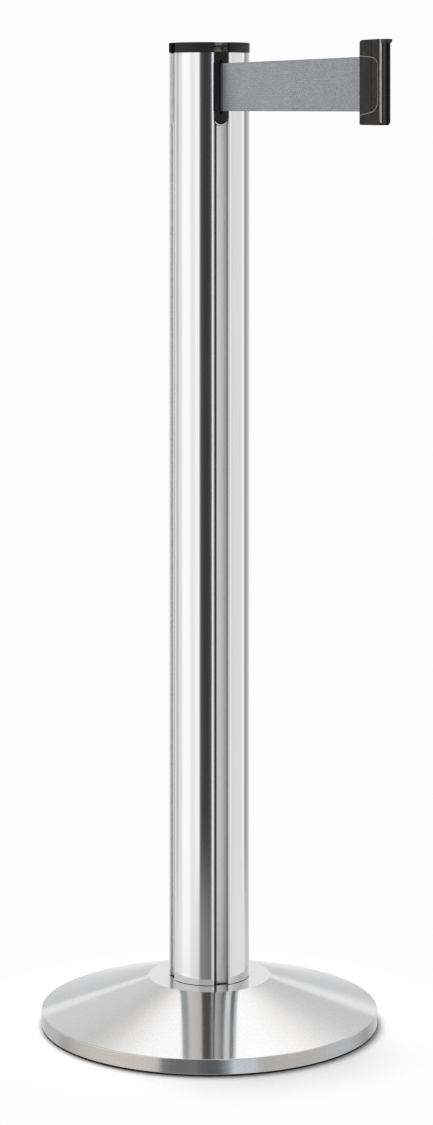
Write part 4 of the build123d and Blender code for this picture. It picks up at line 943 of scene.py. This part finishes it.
# inner run: off the roll on a tangent, round the left roller, then straight to the slit
ROLL_R, ROLLER_X, ROLLER_R = 20.8, 27.2, 2.4
RUN_A, RUN_B = ROLL_R + 0.05 + BELT_T / 2, ROLLER_R + 0.05 + BELT_T / 2
run_dir = math.atan2(RUN_B, ROLLER_X) - math.asin((RUN_A + RUN_B) / math.hypot(ROLLER_X, RUN_B))
dx, dy = math.cos(run_dir), math.sin(run_dir)
p0 = (-dy * RUN_A, dx * RUN_A)
path = [p0]
first = (ROLLER_X + RUN_B * math.sin(run_dir), RUN_B - RUN_B * math.cos(run_dir))
for i in range(1, 8):
    path.append((p0[0] + (first[0] - p0[0]) * i / 8, p0[1] + (first[1] - p0[1]) * i / 8))
for i in range(0, 13):
    a = run_dir * (1 - i / 12)
    path.append((ROLLER_X + RUN_B * math.sin(a), RUN_B - RUN_B * math.cos(a)))
path += [(x, 0.0) for x in (28.5, 31.0, 34.0, 36.5)]
run_obj = belt_sheet("belt_inner_run_web", path)
keep(run_obj, "post", "webbing", "belt_inner_run")

throat = belt_sheet("belt_throat_web", [(36.5 + 0.25 * i, 0.0) for i in range(31)])
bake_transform(throat)
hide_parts("belt_lead")

BELT_END = CLIP_X0 + 11.0
n_x = 260
main = belt_sheet("belt_webbing", [(44.25 + (BELT_END - 44.25) * i / n_x, 0.0) for i in range(n_x + 1)], wobble=0.12)
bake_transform(main)
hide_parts("belt_strip")


# ------------------------------------------------------------------ CAD pieces shown with bevels
def dress(node, width=0.25, segments=2, angle=28.0):
    o = NODES[node]
    me = o.data
    me.materials.clear()
    me.materials.append(MAT[SLOT[node]])
    weld = o.modifiers.new("weld", "WELD")
    weld.merge_threshold = 0.00001
    if width > 0:
        bv = o.modifiers.new("bevel", "BEVEL")
        bv.width = width * MM
        bv.segments = segments
        bv.limit_method = "ANGLE"
        bv.angle_limit = math.radians(angle)
        bv.harden_normals = False
        bv.use_clamp_overlap = True
        bv.miter_outer = "MITER_ARC"
    wn = o.modifiers.new("shade", "WEIGHTED_NORMAL")
    wn.keep_sharp = False
    wn.weight = 80
    return o


BEVELS = {
    "clip_body": 0.45, "clip_cover": 0.35, "clip_face_plate": 0.3, "clip_tongue": 0.4,
    "belt_exit_guide": 0.45, "receiver_rear": 0.4, "receiver_left": 0.4, "receiver_right": 0.4,
    "base_weight": 0.8, "clamp_washer": 0.3, "tie_bolt": 0.4, "lock_washer": 0.2, "cap_screws": 0.15,
    "spindle_clip": 0.1, "guide_pins": 0.15, "power_spring": 0.0, "belt_roll": 0.4, "clip_screws": 0.1,
}
shown = [n for n in NODES if not NODES[n].hide_render]
for n in shown:
    dress(n, BEVELS.get(n, 0.2), 3 if n.startswith("clip") else 2)

# ------------------------------------------------------------------ CLIP COVER BEAD
CLIP_PLAN = [(429.3, -2.9), (430.6, -3.85), (459.0, -4.0), (479.1, -4.15)]


def clip_face_y(x):
    for (x0, y0), (x1, y1) in zip(CLIP_PLAN, CLIP_PLAN[1:]):
        if x <= x1:
            return y0 + (y1 - y0) * max(0.0, x - x0) / (x1 - x0)
    return CLIP_PLAN[-1][1]


def hermite(p, q, tp, tq, n):
    """Points of a cubic from p to q with end directions tp, tq, leaving out p."""
    d = math.hypot(q[0] - p[0], q[1] - p[1])
    out = []
    for i in range(1, n + 1):
        t = i / n
        h = (2 * t ** 3 - 3 * t * t + 1, t ** 3 - 2 * t * t + t, -2 * t ** 3 + 3 * t * t, t ** 3 - t * t)
        out.append(tuple(h[0] * p[k] + h[1] * tp[k] * d + h[2] * q[k] + h[3] * tq[k] * d for k in (0, 1)))
    return out


def cover_bead(name, x0, r, sink):
    """A fine raised line on the clip's face, along the cover's tapered D, open towards the belt; its light metal is a
    painted highlight for the cover's rim edge.
    """
    line = [(x0 + (456.0 - x0) * i / 14, 945.1 + (943.9 - 945.1) * i / 14) for i in range(15)]
    line += hermite((456.0, 943.9), (474.4, 935.6), (1.0, -0.04), (0.0, -1.0), 14)
    line += [(474.4, 935.6 - (935.6 - 907.0) * i / 8) for i in range(1, 9)]
    line += hermite((474.4, 907.0), (457.5, 897.3), (0.0, -1.0), (-1.0, -0.09), 14)
    line += [(457.5 + (x0 - 457.5) * i / 14, 897.3 + (894.7 - 897.3) * i / 14) for i in range(1, 15)]
    sides = 8
    verts, faces, normals = [], [], []
    n = len(line)
    for i, (x, z) in enumerate(line):
        xa, za = line[max(i - 1, 0)]
        xb, zb = line[min(i + 1, n - 1)]
        d = math.hypot(xb - xa, zb - za)
        tx, tz = (xb - xa) / d, (zb - za) / d
        for k in range(sides):
            a = 2 * math.pi * k / sides
            c, s_ = math.cos(a), math.sin(a)
            verts.append((x - tz * r * c, clip_face_y(x) + sink - r * s_, z + tx * r * c))
    ring_normals = []
    for i in range(n):
        row = []
        cx, cz = line[i]
        for k in range(sides):
            v = Vector(verts[i * sides + k]) - Vector((cx, clip_face_y(cx) + sink, cz))
            row.append(tuple(v.normalized()))
        ring_normals.append(row)
    for i in range(n - 1):
        for k in range(sides):
            k2 = (k + 1) % sides
            faces.append((i * sides + k, i * sides + k2, (i + 1) * sides + k2, (i + 1) * sides + k))
            normals.append([ring_normals[i][k], ring_normals[i][k2], ring_normals[i + 1][k2], ring_normals[i + 1][k]])
    faces.append(tuple(range(sides))[::-1])
    normals.append(None)
    faces.append(tuple((n - 1) * sides + k for k in range(sides)))
    normals.append(None)
    return mesh_object(name, verts, faces, normals, MAT["bead_metal"])


bead = cover_bead("clip_cover_bead", 430.9, 0.36, 0.06)
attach(bead, "belt_end")

# ------------------------------------------------------------------ FLOOR
CAM_DIR = Vector((math.sin(math.radians(72.3)), -math.cos(math.radians(72.3)), 0.0))
RIGHT = Vector((-CAM_DIR.y, CAM_DIR.x, 0.0))


def make_floor():
    n = 48
    size = 9.0
    verts = [(-size + 2 * size * i / n, -size + 2 * size * j / n, -0.0001) for j in range(n + 1) for i in range(n + 1)]
    faces = [(j * (n + 1) + i, j * (n + 1) + i + 1, (j + 1) * (n + 1) + i + 1, (j + 1) * (n + 1) + i) for j in range(n) for i in range(n)]
    me = bpy.data.meshes.new("floor_sweep")
    me.from_pydata(verts, [], faces)
    o = link(bpy.data.objects.new("floor_sweep", me))
    m = bpy.data.materials.new("floor_pale")
    m.use_nodes = True
    nt = m.node_tree
    nt.nodes.clear()
    out = nt.nodes.new("ShaderNodeOutputMaterial")
    diff = nt.nodes.new("ShaderNodeBsdfDiffuse")
    emit = nt.nodes.new("ShaderNodeEmission")
    emit.inputs["Color"].default_value = (1, 1, 1, 1)
    emit.inputs["Strength"].default_value = 0.99
    tc = nt.nodes.new("ShaderNodeTexCoord")
    grain = noise(nt, tc.outputs["Object"], 240.0, 2.0, 0.5)
    pale = ramp(nt, grain, [(0.3, (0.835, 0.835, 0.835)), (0.7, (0.855, 0.855, 0.855))])
    sep = nt.nodes.new("ShaderNodeSeparateXYZ")
    nt.links.new(tc.outputs["Object"], sep.inputs[0])
    rad = math_node(nt, "SQRT", math_node(nt, "ADD", math_node(nt, "MULTIPLY", sep.outputs[0], sep.outputs[0]), math_node(nt, "MULTIPLY", sep.outputs[1], sep.outputs[1])))
    # painted contact shadow: the floor's colour is darkened in the last few millimetres under the base's rim
    painted_contact_shadow = map_range(nt, rad, 0.1645, 0.1700, 0.30, 0.0, True)
    nt.links.new(mix_rgb(nt, painted_contact_shadow, pale, (0.2, 0.2, 0.2)), diff.inputs["Color"])
    fac = map_range(nt, rad, 0.175, 0.26, 0.0, 1.0, True)
    mix = nt.nodes.new("ShaderNodeMixShader")
    nt.links.new(fac, mix.inputs[0])
    nt.links.new(diff.outputs[0], mix.inputs[1])
    nt.links.new(emit.outputs[0], mix.inputs[2])
    nt.links.new(mix.outputs[0], out.inputs["Surface"])
    me.materials.append(m)
    o.visible_glossy = False
    return o


make_floor()


# ------------------------------------------------------------------ WORLD
def grey(v, warm=0.0):
    return (min(1.2, v * (1 + warm)), v, min(1.2, v * (1 - warm)))


def make_world():
    w = bpy.data.worlds.new("studio")
    bpy.context.scene.world = w
    w.use_nodes = True
    nt = w.node_tree
    nt.nodes.clear()
    out = nt.nodes.new("ShaderNodeOutputWorld")
    tc = nt.nodes.new("ShaderNodeTexCoord")
    sep = nt.nodes.new("ShaderNodeSeparateXYZ")
    nt.links.new(tc.outputs["Generated"], sep.inputs[0])
    x, y, z = sep.outputs

    def along(v):
        return math_node(nt, "ADD", math_node(nt, "MULTIPLY", x, v.x), math_node(nt, "MULTIPLY", y, v.y))

    az = math_node(nt, "ARCTAN2", along(RIGHT), along(CAM_DIR))
    a_left = map_range(nt, az, -math.pi, 0.0, 0.0, 1.0)
    a_right = map_range(nt, az, 0.0, math.pi, 0.0, 1.0)
    el = math_node(nt, "MULTIPLY", math_node(nt, "ARCSINE", z), 180.0 / math.pi)

    def ring(left, right):
        l = ramp(nt, a_left, [((a + 180.0) / 180.0, c) for a, c in left])
        r = ramp(nt, a_right, [(a / 180.0, c) for a, c in right])
        return mix_rgb(nt, math_node(nt, "GREATER_THAN", az, 0.0), l, r)

    # softboxes, grey cards and one dark flag in front, level with the post
    level = ring(
        [(-180, grey(0.95)), (-163, grey(0.80)), (-150, grey(0.52)), (-136, grey(0.40)), (-122, grey(0.46)),
         (-117, grey(0.60)), (-113, grey(0.92)), (-109, grey(0.54)), (-102, grey(0.52)), (-95, grey(0.84)), (-90, grey(0.74)),
         (-85, grey(0.90)), (-80, grey(1.04)), (-60, grey(1.02)), (-55, grey(0.90, 0.01)), (-48, grey(0.83, 0.01)), (-36, grey(0.97)),
         (-30, grey(0.97)), (-28, grey(0.50)), (-25, grey(0.13, -0.02)), (-20, grey(0.055, 0.0)), (-8, grey(0.038, -0.04)), (0, grey(0.052, -0.12))],
        [(0, grey(0.052, -0.12)), (3.5, grey(0.085, -0.12)), (6.5, grey(0.12, -0.08)), (8.2, grey(0.98)), (12, grey(0.98)), (14, grey(0.36)), (33, grey(0.40)),
         (42, grey(0.50)), (52, grey(0.66)), (55, grey(0.95)), (63, grey(0.95)), (65.5, grey(0.70)),
         (80, grey(0.755)), (107, grey(0.75)), (111, grey(0.95)), (116, grey(0.95)), (121, grey(0.5)), (127, grey(0.24, -0.04)),
         (133, grey(0.42)), (148, grey(0.52)), (157, grey(0.62)), (166, grey(0.85)), (180, grey(0.95))],
    )
    # the same, seen lower down, where the flag's foot is lit by the floor
    low = ring(
        [(-180, grey(0.95)), (-160, grey(0.75)), (-146, grey(0.42)), (-134, grey(0.50)), (-118, grey(0.70)),
         (-104, grey(0.78)), (-90, grey(0.84)), (-78, grey(1.0)), (-60, grey(0.98)), (-55, grey(0.86)),
         (-44, grey(0.80)), (-36, grey(0.78)), (-31, grey(0.80)), (-28, grey(0.50)), (-25, grey(0.29)), (-10, grey(0.25)), (0, grey(0.20))],
        [(0, grey(0.20)), (5, grey(0.22)), (8, grey(0.8)), (12, grey(0.7)), (15, grey(0.34)), (38, grey(0.42)), (50, grey(0.60)), (60, grey(0.75)),
         (90, grey(0.79)), (118, grey(0.78)), (130, grey(0.62)), (140, grey(0.55)), (156, grey(0.60)), (168, grey(0.8)), (180, grey(0.95))],
    )
    # what the base's rim sees: floor in front, warm on the left and cool on the right
    rim = ring(
        [(-180, grey(0.70)), (-163, grey(0.58, -0.01)), (-147, grey(0.50, -0.03)), (-128, grey(0.48, -0.02)), (-120, grey(0.36, 0.05)), (-114, grey(0.36, 0.07)),
         (-100, grey(0.45, 0.08)), (-70, grey(0.52, 0.10)), (-42, grey(0.53, 0.08)), (-36, grey(0.50, 0.04)), (-31, grey(0.145, 0.03)),
         (-20, grey(0.135, 0.0)), (-10, grey(0.155, -0.03)), (-5, grey(0.11, -0.08)), (0, grey(0.095, -0.10))],
        [(0, grey(0.095, -0.10)), (7, grey(0.10, -0.12)), (12, grey(0.24, -0.12)), (17, grey(0.60, -0.09)), (30, grey(0.57, -0.08)), (35, grey(0.45, -0.02)), (37, grey(0.42, 0.06)), (50, grey(0.43, 0.08)),
         (72, grey(0.42, 0.06)), (84, grey(0.45, 0.0)), (108, grey(0.46, -0.03)), (120, grey(0.38, 0.0)), (135, grey(0.32, 0.03)), (147, grey(0.44, 0.02)), (163, grey(0.60, 0.0)), (180, grey(0.80))],
    )
    # the front cards lean back over the object: high up, narrower and cooler
    mid = ring([(-180, grey(0.6)), (-60, grey(0.62)), (-32, grey(0.60)), (-28, grey(0.43, -0.03)), (0, grey(0.43, -0.03))],
               [(0, grey(0.43, -0.03)), (8, grey(0.45, -0.03)), (14, grey(0.56)), (60, grey(0.64)), (100, grey(0.45)), (125, grey(0.55)), (180, grey(0.6))])
    high = ring(
        [(-180, grey(0.45, -0.04)), (-160, grey(0.34, -0.04)), (-98, grey(0.33, -0.05)), (-90, grey(0.52, 0.03)), (-80, grey(0.56, 0.05)), (-44, grey(0.50, 0.04)),
         (-33, grey(0.48, 0.05)), (-27, grey(0.085, 0.08)), (-15, grey(0.065, 0.06)), (0, grey(0.065, 0.03))],
        [(0, grey(0.055, 0.0)), (5, grey(0.07, -0.05)), (9, grey(0.32, -0.05)), (13, grey(0.16, -0.1)), (29, grey(0.17, -0.1)), (36, grey(0.50)), (43, grey(0.22)), (55, grey(0.28)),
         (62, grey(0.52)), (68, grey(0.64)), (90, grey(0.66)), (97, grey(0.17, -0.1)), (116, grey(0.18, -0.1)), (124, grey(0.5)), (150, grey(0.6)), (180, grey(0.6))],
    )
    m1 = mix_rgb(nt, map_range(nt, el, -13.6, -15.8, 0.0, 1.0, True), level, low)
    m2 = mix_rgb(nt, map_range(nt, el, -16.4, -17.1, 0.0, 1.0, True), m1, rim)
    m2 = mix_rgb(nt, map_range(nt, el, 5.0, 11.0, 0.0, 1.0, True), m2, mid)
    m2 = mix_rgb(nt, map_range(nt, el, 22.0, 30.0, 0.0, 1.0, True), m2, high)
    # behind the object: horizontal bands, by elevation
    e01 = map_range(nt, el, -30.0, 90.0, 0.0, 1.0)
    e = lambda d: (d + 30.0) / 120.0
    back_l = ramp(nt, e01, [
        (e(-30), grey(0.9)), (e(-17), grey(0.93)), (e(-9), grey(0.79, -0.01)), (e(-3), grey(0.69, -0.02)), (e(4), grey(0.635, -0.02)),
        (e(10), grey(0.595, -0.02)), (e(13), grey(0.60, -0.01)), (e(15), grey(0.80)), (e(17.5), grey(0.81)), (e(20), grey(0.63)),
        (e(25), grey(0.63)), (e(30), grey(0.62)), (e(37), grey(0.575, 0.01)), (e(40.5), grey(0.65, 0.02)), (e(44), grey(0.82, 0.02)),
        (e(48), grey(1.0)), (e(60), grey(1.03)), (e(90), grey(1.0))])
    back_r = ramp(nt, e01, [
        (e(-30), grey(0.9)), (e(-17), grey(0.93)), (e(-9), grey(0.79, -0.01)), (e(-3), grey(0.69, -0.02)), (e(4), grey(0.61, -0.02)),
        (e(9), grey(0.60, -0.02)), (e(12), grey(0.72, -0.01)), (e(15), grey(0.83)), (e(17.5), grey(0.80)), (e(20), grey(0.58)),
        (e(25), grey(0.59)), (e(30), grey(0.61)), (e(34), grey(0.68)), (e(38), grey(0.78, 0.01)), (e(44), grey(0.96, 0.01)),
        (e(48), grey(1.03)), (e(60), grey(1.03)), (e(90), grey(1.0))])
    back = mix_rgb(nt, math_node(nt, "GREATER_THAN", az, 0.0), back_l, back_r)
    aabs = math_node(nt, "ABSOLUTE", az)
    behind = map_range(nt, aabs, math.radians(152), math.radians(160), 0.0, 1.0, True)
    use_back = math_node(nt, "MULTIPLY", behind, map_range(nt, el, -16.2, -15.0, 0.0, 1.0, True))
    m3 = mix_rgb(nt, use_back, m2, back)
    # overhead it is one even softbox
    m4 = mix_rgb(nt, map_range(nt, el, 62.0, 74.0, 0.0, 1.0, True), m3, (0.97, 0.97, 0.97))
    # straight down is plain floor
    m5 = mix_rgb(nt, map_range(nt, el, -22.0, -34.0, 0.0, 1.0, True), m4, (0.78, 0.78, 0.78))

    bg_env = nt.nodes.new("ShaderNodeBackground")
    nt.links.new(m5, bg_env.inputs["Color"])
    bg_env.inputs["Strength"].default_value = 1.0
    bg_cam = nt.nodes.new("ShaderNodeBackground")
    bg_cam.inputs["Color"].default_value = (1, 1, 1, 1)
    bg_cam.inputs["Strength"].default_value = 0.99
    bg_dif = nt.nodes.new("ShaderNodeBackground")
    up = map_range(nt, z, -0.4, 0.9, 0.44, 0.62)
    nt.links.new(up, bg_dif.inputs["Strength"])
    bg_dif.inputs["Color"].default_value = (1, 1, 1, 1)
    lp = nt.nodes.new("ShaderNodeLightPath")
    mixa = nt.nodes.new("ShaderNodeMixShader")
    nt.links.new(lp.outputs["Is Glossy Ray"], mixa.inputs[0])
    nt.links.new(bg_dif.outputs[0], mixa.inputs[1])
    nt.links.new(bg_env.outputs[0], mixa.inputs[2])
    mixb = nt.nodes.new("ShaderNodeMixShader")
    nt.links.new(lp.outputs["Is Camera Ray"], mixb.inputs[0])
    nt.links.new(mixa.outputs[0], mixb.inputs[1])
    nt.links.new(bg_cam.outputs[0], mixb.inputs[2])
    nt.links.new(mixb.outputs[0], out.inputs["Surface"])
    w.cycles.sampling_method = "MANUAL"
    w.cycles.sample_map_resolution = 512


make_world()


def area(name, loc, target, size, energy, glossy=False):
    l = bpy.data.lights.new(name, "AREA")
    l.shape = "RECTANGLE"
    l.size, l.size_y = size
    l.energy = energy
    o = link(bpy.data.objects.new(name, l))
    o.location = loc
    o.rotation_mode = "QUATERNION"
    o.rotation_quaternion = (Vector(target) - Vector(loc)).to_track_quat("-Z", "Y")
    o.visible_glossy = glossy
    o.visible_camera = False
    return o


key_at = CAM_DIR * -0.95 - RIGHT * 0.5 + Vector((0, 0, 2.6))
area("key_softbox", key_at, (0.0, 0, 0.0), (1.5, 1.5), 70.0)

# ------------------------------------------------------------------ CAMERA
cam_data = bpy.data.cameras.new("camera")
cam = link(bpy.data.objects.new("camera", cam_data))
cam.location = CAM_DIR * 2.935 + Vector((0, 0, 0.901))
cam.rotation_mode = "QUATERNION"
cam.rotation_quaternion = (-CAM_DIR).to_track_quat("-Z", "Y")
cam_data.sensor_width = 36.0
cam_data.sensor_fit = "AUTO"
cam_data.lens = 95.3
cam_data.clip_start, cam_data.clip_end = 0.05, 60.0
bpy.context.scene.camera = cam


def shift_driver(prop, value):
    """Lens shift that holds only while the camera stands at its own place."""
    d = cam_data.driver_add(prop).driver
    d.type = "SCRIPTED"
    for name, path in (("cx", "location[0]"), ("cy", "location[1]")):
        v = d.variables.new()
        v.name = name
        v.type = "SINGLE_PROP"
        v.targets[0].id = cam
        v.targets[0].data_path = path
    d.expression = f"{value} if abs(cx - {cam.location.x:.5f}) + abs(cy - {cam.location.y:.5f}) < 0.002 else 0.0"


shift_driver("shift_x", 0.0064)
shift_driver("shift_y", -0.404)

sc = bpy.context.scene
sc.view_settings.view_transform = "Standard"
sc.view_settings.look = "None"
sc.view_settings.exposure = 0.0
sc.view_settings.gamma = 1.0
sc.cycles.max_bounces = 10
sc.cycles.glossy_bounces = 6
sc.cycles.diffuse_bounces = 4
sc.cycles.caustics_reflective = False
sc.cycles.caustics_refractive = False

bpy.context.view_layer.update()
